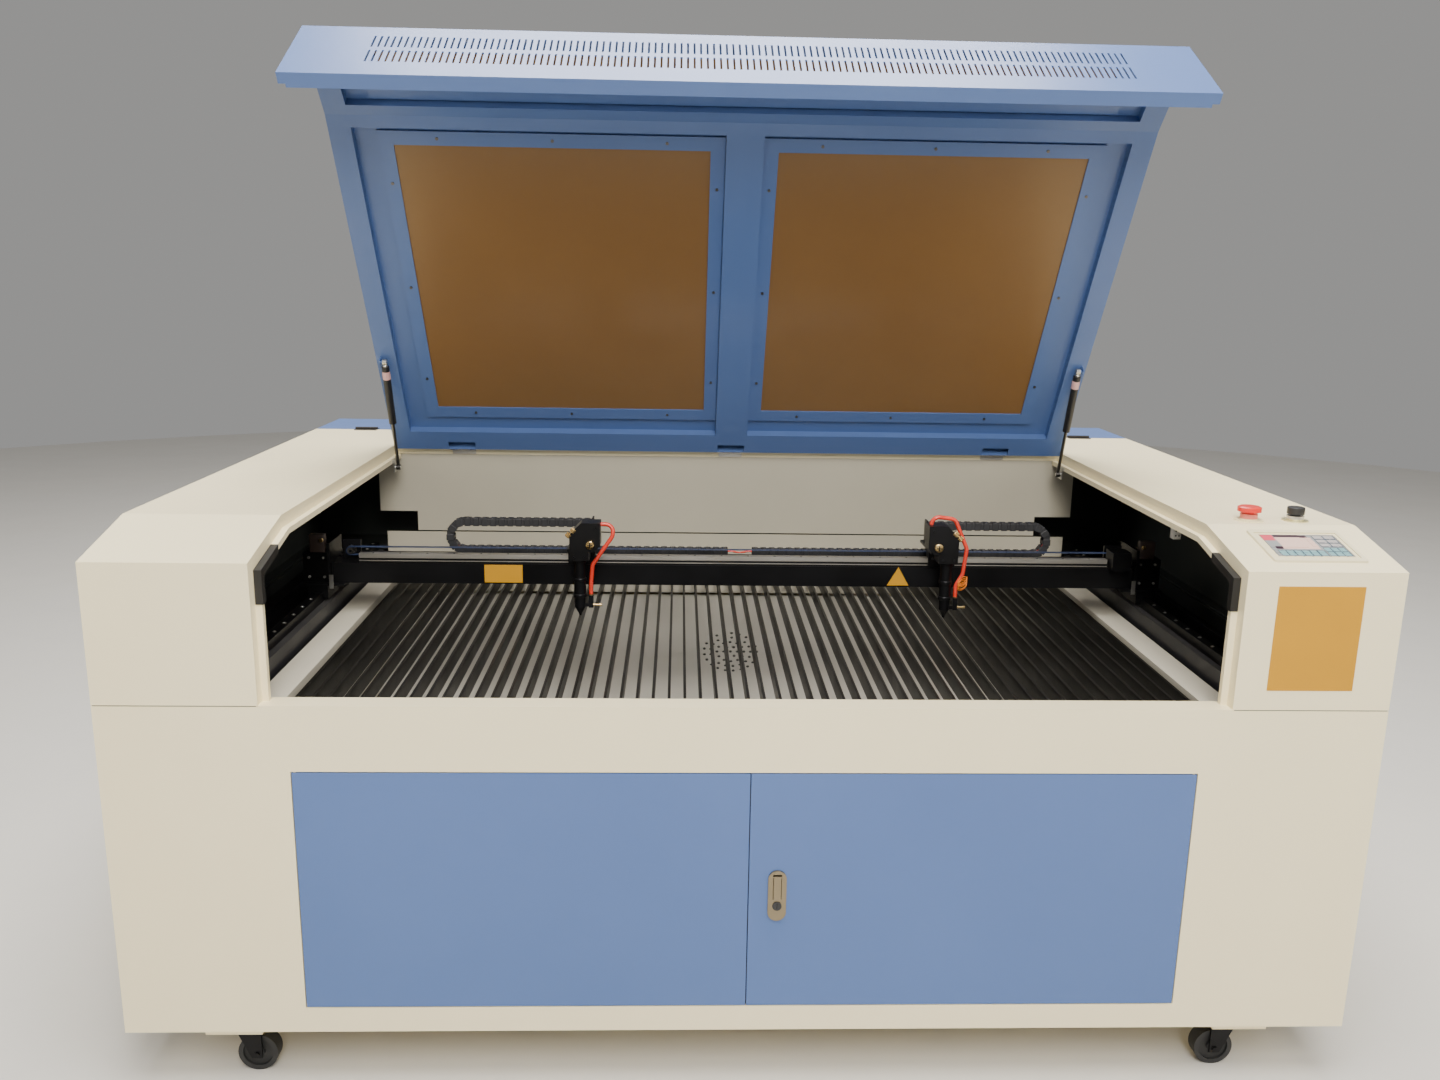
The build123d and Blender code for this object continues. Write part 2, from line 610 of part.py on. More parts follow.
bracket_y = belt_y + belt_w / 2 + 4
with BuildPart() as belt_brackets:
    for side in (-1, 1):
        b0, b1 = side * pulley_x - 20, side * pulley_x + 20
        block(b0, b1, bracket_y, bracket_y + 6, beam_top, pulley_z + 24)
        rod(side * pulley_x, belt_y - belt_w / 2 - 2, pulley_z, axle_r, bracket_y - belt_y + belt_w / 2 + 2,
            backwards)
belt_brackets.part.label = "belt_brackets"
export_step(belt_brackets.part, "parts/belt_brackets.step")

motor_back = belt_y - belt_w / 2 - 3
with BuildPart() as x_motor:
    block(pulley_x - 21, pulley_x + 21, motor_back - 46, motor_back, beam_top, beam_top + 42)
    rod(pulley_x, motor_back - 0.1, pulley_z, axle_r + 4, 1.1, backwards)
x_motor.part.label = "x_motor"
export_step(x_motor.part, "parts/x_motor.step")


def pulley(x):
    """A flanged belt pulley that runs free on its axle."""
    with BuildSketch(Plane(origin=(x, belt_y - belt_w / 2 - 0.5, pulley_z), x_dir=(1, 0, 0), z_dir=(0, 1, 0))) as s:
        Circle(pulley_r)
        Circle(axle_r + pin_fit, mode=Mode.SUBTRACT)
    extrude(s.sketch, amount=belt_w + 1)
    with BuildSketch(Plane(origin=(x, belt_y + belt_w / 2 + 0.5, pulley_z), x_dir=(1, 0, 0), z_dir=(0, 1, 0))) as r:
        Circle(pulley_r + 3)
        Circle(axle_r + pin_fit, mode=Mode.SUBTRACT)
    extrude(r.sketch, amount=2)


with BuildPart() as drive_pulley:
    pulley(pulley_x)
drive_pulley.part.label = "drive_pulley"
export_step(drive_pulley.part, "parts/drive_pulley.step")

with BuildPart() as idler_pulley:
    pulley(-pulley_x)
idler_pulley.part.label = "idler_pulley"
export_step(idler_pulley.part, "parts/idler_pulley.step")


# Drag chains: a lower run on the tray, a half-turn and an upper run to the head
def chain_shape(anchor_x, loop_x, head_x):
    """One chain from its anchor on the tray round the bend to the head."""
    middle = (chain_low + chain_high) / 2
    reach = (chain_high - chain_low) / 2
    away = 1 if loop_x > anchor_x else -1
    plane = Plane(origin=(0, chain_y, 0), x_dir=(1, 0, 0), z_dir=(0, -1, 0))
    with BuildSketch(plane) as outline:
        with BuildLine():
            a = Line((anchor_x, chain_low - chain_t / 2), (loop_x, chain_low - chain_t / 2))
            b = ThreePointArc(a @ 1, (loop_x + away * (reach + chain_t / 2), middle), (loop_x, chain_high + chain_t / 2))
            c = Line(b @ 1, (head_x, chain_high + chain_t / 2))
            d = Line(c @ 1, (head_x, chain_high - chain_t / 2))
            e = Line(d @ 1, (loop_x, chain_high - chain_t / 2))
            f = ThreePointArc(e @ 1, (loop_x + away * (reach - chain_t / 2), middle), (loop_x, chain_low + chain_t / 2))
            g = Line(f @ 1, (anchor_x, chain_low + chain_t / 2))
            Line(g @ 1, a @ 0)
        make_face()
    extrude(outline.sketch, amount=chain_w / 2, both=True)


with BuildPart() as drag_chain_left:
    chain_shape(-18, left_loop_x, left_head_x + chain_end - 4)
drag_chain_left.part.label = "drag_chain_left"
export_step(drag_chain_left.part, "parts/drag_chain_left.step")

with BuildPart() as drag_chain_right:
    chain_shape(38, right_loop_x, right_head_x - chain_end + 4)
drag_chain_right.part.label = "drag_chain_right"
export_step(drag_chain_right.part, "parts/drag_chain_right.step")


# Laser heads: a carriage on the rail with a mirror block, a lens tube and an air hose
def head_body(x, toward):
    """The moving carriage at x; toward is the side its chain arm points to."""
    # slider over the rail
    block(x - 30, x + 30, beam_front - 4, x_rail_back + 5, beam_top + 3, plate_z)
    block(x - 31, x + 31, beam_front + 2, x_rail_back, beam_top + 2, x_rail_top, Mode.SUBTRACT)
    # top plate that reaches back over the belt to the chain
    block(x - 30, x + 30, nozzle_y + 20, chain_y + chain_w / 2, plate_z, plate_z + 6)
    # clamp on the belt's upper run
    grip = pulley_z + pulley_r + pulley_gap + belt_thick
    block(x - 12, x + 12, belt_y - belt_w / 2, belt_y + belt_w / 2, grip, plate_z)
    # arm up to the chain's end
    a0, a1 = sorted((x + toward * (chain_end - 4), x + toward * chain_end))
    block(a0, a1, chain_y - chain_w / 2, chain_y + chain_w / 2, plate_z + 6, chain_high + chain_t / 2 + 4)
    # clamp round the tube and the mirror block above it, cut off at a slant on its outer side
    block(x - block_near, x + block_near, nozzle_y - 20, nozzle_y + 30, head_low, head_low + 24)
    face = Plane(origin=(x, nozzle_y - 22, 0), x_dir=(1, 0, 0), z_dir=(0, -1, 0))
    with BuildSketch(face) as mirror_block:
        with BuildLine():
            Polyline((-toward * block_near, head_low + 20), (-toward * block_near, head_top - mirror_cut),
                     (toward * (mirror_cut - block_near), head_top), (toward * block_far, head_top),
                     (toward * block_far, head_low + 34), (toward * (block_far - 14), head_low + 20), close=True)
        make_face()
    extrude(mirror_block.sketch, amount=-44)
    rod(x, nozzle_y, head_low - 1, tube_r + pin_fit, 32, Plane.XY, Mode.SUBTRACT)


def lens_tube(x):
    """The sliding lens tube with its conical nozzle."""
    with BuildSketch(Plane(origin=(x, nozzle_y, 0), x_dir=(1, 0, 0), z_dir=(0, -1, 0))) as half_shape:
        with BuildLine():
            Polyline((0, tip_z), (2.5, tip_z), (3.5, tip_z + 4), (tube_r - 1, tip_z + 19), (tube_r - 1, tip_z + 50),
                     (tube_r, tip_z + 50), (tube_r, head_low + 20), (0, head_low + 20), close=True)
        make_face()
    revolve(half_shape.sketch, axis=Axis((x, nozzle_y, 0), (0, 0, 1)))
    # port for the air hose, with an elbow that points up beside the nozzle
    block(x + tube_r - 3, x + elbow_x, nozzle_y - 4, nozzle_y + 4, port_z - 4, port_z + 4)
    block(x + elbow_x - elbow_half, x + elbow_x + elbow_half, nozzle_y - elbow_half, nozzle_y + elbow_half,
          port_z - 6, elbow_top)


def air_hose(points):
    """Red hose from the mirror block's end down to the elbow beside the nozzle."""
    with BuildLine() as path:
        FilletPolyline(*points, radius=hose_bend)
    with BuildSketch(Plane(origin=path.line @ 0, z_dir=path.line % 0)) as ring:
        Circle(hose_r)
    sweep(ring.sketch, path=path.line)


with BuildPart() as head_body_left:
    head_body(left_head_x, 1)
head_body_left.part.label = "head_body_left"
export_step(head_body_left.part, "parts/head_body_left.step")

with BuildPart() as head_body_right:
    head_body(right_head_x, -1)
head_body_right.part.label = "head_body_right"
export_step(head_body_right.part, "parts/head_body_right.step")

with BuildPart() as lens_tube_left:
    lens_tube(left_head_x)
lens_tube_left.part.label = "lens_tube_left"
export_step(lens_tube_left.part, "parts/lens_tube_left.step")

with BuildPart() as lens_tube_right:
    lens_tube(right_head_x)
lens_tube_right.part.label = "lens_tube_right"
export_step(lens_tube_right.part, "parts/lens_tube_right.step")

with BuildPart() as air_hose_left:
    air_hose([
        (left_head_x + block_far, nozzle_y + 6, head_top - 8),
        (left_head_x + block_far + 1.75 * hose_bend, nozzle_y + 6, head_top - 8),
        (left_head_x + block_far + 1.6 * hose_bend, nozzle_y, head_top - 2.1 * hose_bend),
        (left_head_x + elbow_x + 4, nozzle_y - 4, head_low - 12),
        (left_head_x + elbow_x, nozzle_y, elbow_top + 1.6 * hose_bend),
        (left_head_x + elbow_x, nozzle_y, elbow_top),
    ])
air_hose_left.part.label = "air_hose_left"
export_step(air_hose_left.part, "parts/air_hose_left.step")

with BuildPart() as air_hose_right:
    air_hose([
        (right_head_x - block_far + 8, nozzle_y, head_top),
        (right_head_x - block_far + 8, nozzle_y, head_top + 1.15 * hose_bend),
        (right_head_x + 14, nozzle_y, head_top + 12),
        (right_head_x + block_far - 2, nozzle_y, head_low + 30),
        (right_head_x + block_far - 8, nozzle_y, head_low - 28),
        (right_head_x + elbow_x, nozzle_y, elbow_top + 1.75 * hose_bend),
        (right_head_x + elbow_x, nozzle_y, elbow_top),
    ])
air_hose_right.part.label = "air_hose_right"
export_step(air_hose_right.part, "parts/air_hose_right.step")

# Lid, drawn shut and then swung open about its hinge line

def slope_shape(a, b, deep0, deep1):
    """A patch of the slope between two distances up it and two depths under it."""
    lean = radians(slope_angle)
    points = []
    for along, deep in ((a, deep0), (b, deep0), (b, deep1), (a, deep1)):
        points.append((front + along * cos(lean) + deep * sin(lean), shoulder_z + along * sin(lean) - deep * cos(lean)))
    return points


shut_y = pivot_y - (upper_reach ** 2 - upper_dip ** 2) ** 0.5
shut_z = pivot_z - upper_dip
with BuildPart() as lid_frame:
    a0, a1 = front_line(0)
    b0, b1 = front_line(lid_under)
    side_shape([a0, a1, (lid_rear, top_z), (lid_rear, top_z - lid_under), b1, b0, (front, b0[1])], -lid_half, lid_half)
    for side in (-1, 1):
        r0, r1 = sorted((side * recess_x0, side * recess_x1))
        block(r0, r1, recess_y0, recess_y1, top_z - lid_under - 1, top_z - lid_skin, Mode.SUBTRACT)
        w0, w1 = sorted((side * window_x0, side * window_x1))
        block(w0, w1, window_y0, window_y1, top_z - 5, top_z + 1, Mode.SUBTRACT)
    side_shape(slope_shape(strip_a - strip_in, strip_b + strip_in, lid_skin, lid_under + 2), -recess_x1, recess_x1,
               Mode.SUBTRACT)
    # the ribs are folded boxes, hollow inside
    wall = lid_skin
    for side in (-1, 1):
        u0, u1 = sorted((side * (recess_x1 + wall), side * (lid_half - wall)))
        block(u0, u1, recess_y0, lid_rear - wall, top_z - lid_under + wall, top_z - lid_skin, Mode.SUBTRACT)
    block(-recess_x1, recess_x1, recess_y1 + wall, lid_rear - wall, top_z - lid_under + wall, top_z - lid_skin,
          Mode.SUBTRACT)
    block(-recess_x0 + wall, recess_x0 - wall, recess_y0, recess_y1, top_z - lid_under + wall, top_z - lid_skin,
          Mode.SUBTRACT)
    side_shape(slope_shape(strip_a, strip_b, -1, 5), -window_x1, window_x1, Mode.SUBTRACT)
    # notches over the hinges
    for hx in hinge_spots:
        block(hx - notch_w / 2, hx + notch_w / 2, lid_rear - wall - notch_deep, lid_rear - wall,
              top_z - lid_under - 1, top_z - lid_under + wall + 0.5, Mode.SUBTRACT)
    # upright front with its turned-in lower edge and ends
    flange_top = b0[1] + 1
    block(-lid_half, lid_half, front, front + lid_skin, flange_low, flange_top)
    block(-lid_half, lid_half, front, front + step - 1, flange_low, flange_low + lid_skin)
    block(-lip_half, lip_half, front, front + flange_lip, flange_low, flange_low + lid_skin)
    block(-lid_half, -lid_half + lid_skin, front, front + step - 1, flange_low, flange_top)
    block(lid_half - lid_skin, lid_half, front, front + step - 1, flange_low, flange_top)
    # studs for the gas struts, beside the upper eyes with a small gap
    for side in (-1, 1):
        j0, j1 = sorted((side * (strut_x + strut_r + 0.8), side * (strut_x + strut_r + 3)))
        block(j0, j1, shut_y - 8, shut_y + 8, shut_z - 6, top_z - lid_under + 1)
        pin0, pin1 = sorted((side * (strut_x + 5.5), side * (strut_x + strut_r + 1)))
        rod(pin0, shut_y, shut_z, stud_r - 0.1, pin1 - pin0, cross)
    for row_z in (vent_row1, vent_row2):
        with Locations((0, front + 1, row_z)):
            with GridLocations(vent_pitch, 1, vent_count, 1):
                Box(vent_w, 6, vent_long, mode=Mode.SUBTRACT)
lid_frame.part = lid_frame.part.rotate(hinge_line, -open_angle)
lid_frame.part.label = "lid_frame"
export_step(lid_frame.part, "parts/lid_frame.step")

with BuildPart() as lid_window_left:
    block(-window_x1 - tuck, -window_x0 + tuck, window_y0 - tuck, window_y1 + tuck,
          top_z - lid_skin - pane, top_z - lid_skin)
lid_window_left.part = lid_window_left.part.rotate(hinge_line, -open_angle)
lid_window_left.part.label = "lid_window_left"
export_step(lid_window_left.part, "parts/lid_window_left.step")

with BuildPart() as lid_window_right:
    block(window_x0 - tuck, window_x1 + tuck, window_y0 - tuck, window_y1 + tuck,
          top_z - lid_skin - pane, top_z - lid_skin)
lid_window_right.part = lid_window_right.part.rotate(hinge_line, -open_angle)
lid_window_right.part.label = "lid_window_right"
export_step(lid_window_right.part, "parts/lid_window_right.step")

with BuildPart() as lid_window_front:
    side_shape(slope_shape(strip_a - tuck, strip_b + tuck, lid_skin, lid_skin + pane), -window_x1 - tuck, window_x1 + tuck)
lid_window_front.part = lid_window_front.part.rotate(hinge_line, -open_angle)
lid_window_front.part.label = "lid_window_front"
export_step(lid_window_front.part, "parts/lid_window_front.step")

# Flat frames screwed over the panes from inside
with BuildPart() as window_frames:
    for side in (-1, 1):
        o0, o1 = sorted((side * (window_x0 - border), side * (window_x1 + border)))
        i0, i1 = sorted((side * window_x0, side * window_x1))
        block(o0, o1, window_y0 - border, window_y1 + border, top_z - frame_deep - frame_t, top_z - frame_deep)
        block(i0, i1, window_y0, window_y1, top_z - frame_deep - frame_t - 1, top_z - frame_deep + 1, Mode.SUBTRACT)
    side_shape(slope_shape(strip_a - 26, strip_b + 26, frame_deep, frame_deep + frame_t),
               -window_x1 - border, window_x1 + border)
    side_shape(slope_shape(strip_a, strip_b, frame_deep - 1, frame_deep + frame_t + 1),
               -window_x1, window_x1, Mode.SUBTRACT)
window_frames.part = window_frames.part.rotate(hinge_line, -open_angle)
window_frames.part.label = "window_frames"
export_step(window_frames.part, "parts/window_frames.step")



def screw_head(x, y):
    """A small head under the frames of the windows, eight-sided."""
    under = top_z - frame_deep - frame_t
    with BuildSketch(Plane(origin=(x, y, under), x_dir=(1, 0, 0), z_dir=(0, 0, -1))) as head:
        RegularPolygon(screw_r, 8)
    extrude(head.sketch, amount=screw_t)


with BuildPart() as window_screws:
    pane_mid_y = (window_y0 + window_y1) / 2
    for side in (-1, 1):
        mid_x = side * (window_x0 + window_x1) / 2
        for dx in (-240, 0, 240):
            for sy in (window_y0 - border / 2, window_y1 + border / 2):
                screw_head(mid_x + dx, sy)
        for dy in (-260, 0, 260):
            for sx in (window_x0 - border / 2, window_x1 + border / 2):
                screw_head(side * sx, pane_mid_y + dy)
window_screws.part = window_screws.part.rotate(hinge_line, -open_angle)
window_screws.part.label = "window_screws"
export_step(window_screws.part, "parts/window_screws.step")

# Three butt hinges between the lid's rear edge and the rear housing
with BuildPart() as hinges_fixed:
    for hx in hinge_spots:
        block(hx - 30, hx + 30, lip_y - 1.6, lip_y, pivot_z - 17, pivot_z)
        block(hx - 15, hx + 15, lip_y - 3, lip_y, pivot_z - 10, pivot_z)
        rod(hx - 15, pivot_y, pivot_z, knuckle_r, 30, cross)
        rod(hx - 30, pivot_y, pivot_z, pin_r, 60, cross)
    # the smaller hinges of the rear cover: leaf, middle knuckle and pin
    for hx in cover_hinges:
        block(hx - cover_hinge_w / 2, hx + cover_hinge_w / 2, cover_axis_y - 20, cover_axis_y - 4, top_z, top_z + 1.5)
        block(hx - 10, hx + 10, cover_axis_y - 5, cover_axis_y, top_z + 0.3, top_z + 1.5)
        rod(hx - 10, cover_axis_y, cover_axis_z, small_knuckle, 20, cross)
        rod(hx - cover_hinge_w / 2, cover_axis_y, cover_axis_z, small_pin, cover_hinge_w, cross)
hinges_fixed.part.label = "hinges_fixed"
export_step(hinges_fixed.part, "parts/hinges_fixed.step")

with BuildPart() as lid_hinges_moving:
    for hx in hinge_spots:
        for k0, k1 in ((hx - 30, hx - 15.5), (hx + 15.5, hx + 30)):
            block(k0, k1, lid_rear, lid_rear + 3, pivot_z - 15, pivot_z)
            rod(k0, pivot_y, pivot_z, knuckle_r, k1 - k0, cross)
            rod(k0 - 1, pivot_y, pivot_z, knuckle_bore, k1 - k0 + 2, cross, Mode.SUBTRACT)
        block(hx - 30, hx + 30, lid_rear, lid_rear + 1.6, pivot_z - 15, pivot_z - 9)
lid_hinges_moving.part = lid_hinges_moving.part.rotate(hinge_line, -open_angle)
lid_hinges_moving.part.label = "lid_hinges_moving"
export_step(lid_hinges_moving.part, "parts/lid_hinges_moving.step")

# Gas struts: the rod turns on the housing, the cylinder slides on the rod
lift = radians(open_angle)
upper_y = pivot_y + (shut_y - pivot_y) * cos(lift) + (shut_z - pivot_z) * sin(lift)
upper_z = pivot_z - (shut_y - pivot_y) * sin(lift) + (shut_z - pivot_z) * cos(lift)
strut_long = hypot(upper_y - lower_y, upper_z - lower_z)
strut_dir = (0, (upper_y - lower_y) / strut_long, (upper_z - lower_z) / strut_long)
shut_long = hypot(shut_y - lower_y, shut_z - lower_z)
cylinder_long = 150.0
print("strut turns", round(degrees(atan2(shut_z - lower_z, shut_y - lower_y) - atan2(upper_z - lower_z, upper_y - lower_y)), 4),
      "direction", [round(v, 6) for v in strut_dir])
print("strut length open", round(strut_long, 3), "shut", round(shut_long, 3))


def strut_rod(x):
    """Rod with its eye on the housing's stud."""
    with BuildSketch(Plane(origin=(x, lower_y, lower_z), x_dir=(1, 0, 0), z_dir=strut_dir)) as s:
        Circle(rod_r)
    extrude(s.sketch, amount=shut_long - 24)
    rod(x - 4.8, lower_y, lower_z, eye_r, 9.6, cross)
    rod(x - 6, lower_y, lower_z, stud_r + pin_fit, 12, cross, Mode.SUBTRACT)


def strut_cylinder(x):
    """Cylinder bored for the rod, with the eye at its closed end."""
    base = tuple(c + d * (strut_long - 12 - cylinder_long) for c, d in zip((x, lower_y, lower_z), strut_dir))
    with BuildSketch(Plane(origin=base, x_dir=(1, 0, 0), z_dir=strut_dir)) as s:
        Circle(strut_r)
    extrude(s.sketch, amount=cylinder_long)
    with BuildSketch(Plane(origin=base, x_dir=(1, 0, 0), z_dir=strut_dir)) as t:
        Circle(rod_r + pin_fit)
    extrude(t.sketch, amount=cylinder_long - 6, mode=Mode.SUBTRACT)
    with BuildSketch(Plane(origin=(x, upper_y, upper_z), x_dir=(1, 0, 0), z_dir=tuple(-d for d in strut_dir))) as n:
        Circle(4)
    extrude(n.sketch, amount=14)
    rod(x - 4.8, upper_y, upper_z, eye_r, 9.6, cross)


with BuildPart() as strut_rod_left:
    strut_rod(-strut_x)
strut_rod_left.part.label = "strut_rod_left"
export_step(strut_rod_left.part, "parts/strut_rod_left.step")

with BuildPart() as strut_rod_right:
    strut_rod(strut_x)
strut_rod_right.part.label = "strut_rod_right"
export_step(strut_rod_right.part, "parts/strut_rod_right.step")

with BuildPart() as strut_cylinder_left:
    strut_cylinder(-strut_x)
strut_cylinder_left.part.label = "strut_cylinder_left"
export_step(strut_cylinder_left.part, "parts/strut_cylinder_left.step")

with BuildPart() as strut_cylinder_right:
    strut_cylinder(strut_x)
strut_cylinder_right.part.label = "strut_cylinder_right"
export_step(strut_cylinder_right.part, "parts/strut_cylinder_right.step")

# Brackets under the rim with the lower studs
with BuildPart() as strut_brackets:
    for side in (-1, 1):
        k0, k1 = sorted((side * (strut_x + 7), side * (strut_x + 9.5)))
        block(k0, k1, lower_y - 12, lower_y + 30, lower_z - 12, top_z - seat_deep - 11)
        m0, m1 = sorted((side * (strut_x + 7), side * (opening_half - seat_w)))
        block(m0, m1, lower_y - 12, lower_y + 30, top_z - seat_deep - 11, top_z - seat_deep - sheet)
        start = min(side * (strut_x - 5), side * (strut_x + 8))
        rod(start, lower_y, lower_z, stud_r, 13, cross)
strut_brackets.part.label = "strut_brackets"
export_step(strut_brackets.part, "parts/strut_brackets.step")

# Controls on the right housing
with BuildPart() as button_bases:
    for x, ring_r, stem_r, high in ((estop_x, 27, estop_stem, 11), (button_x, 24, cap_stem, 8)):
        with Locations((x, button_y, top_z + 1)):
            Cylinder(ring_r, 2)
        with Locations((x, button_y, top_z + 2 + high / 2)):
            Cylinder(collar_r, high)
        with Locations((x, button_y, top_z + 7)):
            Cylinder(stem_r + slide_fit, 12, mode=Mode.SUBTRACT)
button_bases.part.label = "button_bases"
export_step(button_bases.part, "parts/button_bases.step")

with BuildPart() as estop_mushroom:
    with Locations((estop_x, button_y, top_z + 22.5)):
        Cylinder(estop_r, 10)
    chamfer(estop_mushroom.edges().group_by(Axis.Z)[-1], length=2, length2=4)
    with Locations((estop_x, button_y, top_z + 12)):
        Cylinder(estop_stem, 12)
estop_mushroom.part.label = "estop_mushroom"
export_step(estop_mushroom.part, "parts/estop_mushroom.step")

with BuildPart() as push_button:
    with Locations((button_x, button_y, top_z + 20)):
        Cylinder(cap_r, 13)
    chamfer(push_button.edges().group_by(Axis.Z)[-1], length=1.2)
    with Locations((button_x, button_y, top_z + 10)):
        Cylinder(cap_stem, 9)
push_button.part.label = "push_button"
export_step(push_button.part, "parts/push_button.step")

panel_long = (panel_y1 - panel_y0) / cos(radians(slope_angle))
panel_mid_y = (panel_y0 + panel_y1) / 2
slope_up = (0, -sin(radians(slope_angle)), cos(radians(slope_angle)))
panel_face = Plane(origin=((panel_x0 + panel_x1) / 2, panel_mid_y, slope_z(panel_mid_y)), x_dir=(1, 0, 0), z_dir=slope_up)
with BuildPart() as control_panel:
    with BuildSketch(panel_face):
        RectangleRounded(panel_x1 - panel_x0, panel_long, 6)
    extrude(amount=4, taper=12)
    with BuildSketch(panel_face.offset(2)):
        Rectangle(155, 100)
    extrude(amount=3, mode=Mode.SUBTRACT)
    with BuildSketch(panel_face.offset(2)):
        with Locations((-34, 17)):
            Rectangle(72, 50)
    extrude(amount=0.8)
    with BuildSketch(panel_face.offset(2)):
        with Locations((42, 17)):
            with GridLocations(16, 16, 4, 3):
                Rectangle(12, 11)
        with Locations((0, -31)):
            with GridLocations(16, 16, 9, 2):
                Rectangle(12, 11)
    extrude(amount=0.6)
control_panel.part.label = "control_panel"
export_step(control_panel.part, "parts/control_panel.step")

# Two sealed laser tubes that lie on the stands in the rear room
with BuildPart() as laser_tubes:
    for ty in (tube_y1, tube_y2):
        rod(-tube_half, ty, tube_z, tube_glass_r, 2 * tube_half, cross)
laser_tubes.part.label = "laser_tubes"
export_step(laser_tubes.part, "parts/laser_tubes.step")

# Casters: a swivelling fork and a wheel under each pad
def fork(cx, cy, away):
    """A swivel fork whose wheel trails to the side given by away."""
    with Locations((cx, cy, belly_z - pad_t - 4)):
        Cylinder(30, 8)
    x0, x1 = sorted((cx - away * 12, cx + away * (trail + 10)))
    block(x0, x1, cy - 21, cy + 21, belly_z - pad_t - 14, belly_z - pad_t - 8)
    for s in (-1, 1):
        y0, y1 = sorted((cy + s * 17, cy + s * 21))
        plane = Plane(origin=(0, y0, 0), x_dir=(1, 0, 0), z_dir=(0, -1, 0))
        with BuildSketch(plane) as cheek:
            with BuildLine():
                Polyline((cx - away * 12, belly_z - pad_t - 8), (cx + away * (trail + 10), belly_z - pad_t - 8),
                         (cx + away * (trail + 10), wheel_r - 8), (cx + away * (trail - 10), wheel_r - 8), close=True)
            make_face()
        extrude(cheek.sketch, amount=-(y1 - y0))
    rod(cx + away * trail, cy - 24, wheel_r, 5, 48, backwards)


def wheel(cx, cy, away):
    """A solid caster wheel with a shaped hub."""
    spot = Plane(origin=(cx + away * trail, cy, wheel_r), x_dir=(1, 0, 0), z_dir=(0, 1, 0))
    with BuildSketch(spot) as disc:
        Circle(wheel_r)
        Circle(5 + pin_fit, mode=Mode.SUBTRACT)
    extrude(disc.sketch, amount=wheel_w / 2, both=True)
    for s in (-1, 1):
        with BuildSketch(spot.offset(s * (wheel_w / 2 + 0.5))) as hollow:
            Circle(wheel_r - 9)
            Circle(12, mode=Mode.SUBTRACT)
        extrude(hollow.sketch, amount=-s * 6, mode=Mode.SUBTRACT)


with BuildPart() as caster_fork_front_left:
    fork(-caster_x, caster_y0, 1)
caster_fork_front_left.part.label = "caster_fork_front_left"
export_step(caster_fork_front_left.part, "parts/caster_fork_front_left.step")

with BuildPart() as caster_fork_front_right:
    fork(caster_x, caster_y0, -1)
caster_fork_front_right.part.label = "caster_fork_front_right"
export_step(caster_fork_front_right.part, "parts/caster_fork_front_right.step")

with BuildPart() as caster_fork_rear_left:
    fork(-caster_x, caster_y1, 1)
caster_fork_rear_left.part.label = "caster_fork_rear_left"
export_step(caster_fork_rear_left.part, "parts/caster_fork_rear_left.step")

with BuildPart() as caster_fork_rear_right:
    fork(caster_x, caster_y1, -1)
caster_fork_rear_right.part.label = "caster_fork_rear_right"
export_step(caster_fork_rear_right.part, "parts/caster_fork_rear_right.step")

with BuildPart() as caster_wheel_front_left:
    wheel(-caster_x, caster_y0, 1)
caster_wheel_front_left.part.label = "caster_wheel_front_left"
export_step(caster_wheel_front_left.part, "parts/caster_wheel_front_left.step")

with BuildPart() as caster_wheel_front_right:
    wheel(caster_x, caster_y0, -1)
caster_wheel_front_right.part.label = "caster_wheel_front_right"
export_step(caster_wheel_front_right.part, "parts/caster_wheel_front_right.step")

with BuildPart() as caster_wheel_rear_left:
    wheel(-caster_x, caster_y1, 1)
caster_wheel_rear_left.part.label = "caster_wheel_rear_left"
export_step(caster_wheel_rear_left.part, "parts/caster_wheel_rear_left.step")

with BuildPart() as caster_wheel_rear_right:
    wheel(caster_x, caster_y1, -1)
caster_wheel_rear_right.part.label = "caster_wheel_rear_right"
export_step(caster_wheel_rear_right.part, "parts/caster_wheel_rear_right.step")
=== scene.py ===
# A laser cutter for acrylic sheet, lid open, dressed over its solids
import math

import bmesh
import bpy
import numpy as np
from mathutils import Matrix, Vector


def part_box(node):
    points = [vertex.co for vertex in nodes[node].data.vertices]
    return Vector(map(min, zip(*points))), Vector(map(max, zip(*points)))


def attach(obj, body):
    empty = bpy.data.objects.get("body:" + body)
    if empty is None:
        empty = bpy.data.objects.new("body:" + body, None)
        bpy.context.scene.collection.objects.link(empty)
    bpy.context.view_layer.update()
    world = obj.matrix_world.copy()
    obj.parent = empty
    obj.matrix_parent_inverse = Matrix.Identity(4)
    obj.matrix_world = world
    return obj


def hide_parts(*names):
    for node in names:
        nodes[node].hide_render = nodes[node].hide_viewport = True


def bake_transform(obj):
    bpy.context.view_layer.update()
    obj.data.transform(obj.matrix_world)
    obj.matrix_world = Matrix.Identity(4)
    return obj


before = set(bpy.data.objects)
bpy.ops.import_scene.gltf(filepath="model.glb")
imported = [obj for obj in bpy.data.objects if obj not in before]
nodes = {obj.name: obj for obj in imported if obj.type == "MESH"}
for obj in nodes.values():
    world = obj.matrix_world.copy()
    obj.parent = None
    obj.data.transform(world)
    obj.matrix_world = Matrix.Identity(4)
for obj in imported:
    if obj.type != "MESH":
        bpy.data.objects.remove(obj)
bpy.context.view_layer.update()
print("frame loaded")

# places on the machine that several pieces share, read from its solids
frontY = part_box("cabinet_body")[0].y
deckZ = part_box("cabinet_body")[1].z
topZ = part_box("left_housing")[1].z
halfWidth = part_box("right_housing")[1].x


# Camera: the photograph's stand, lens and tilt

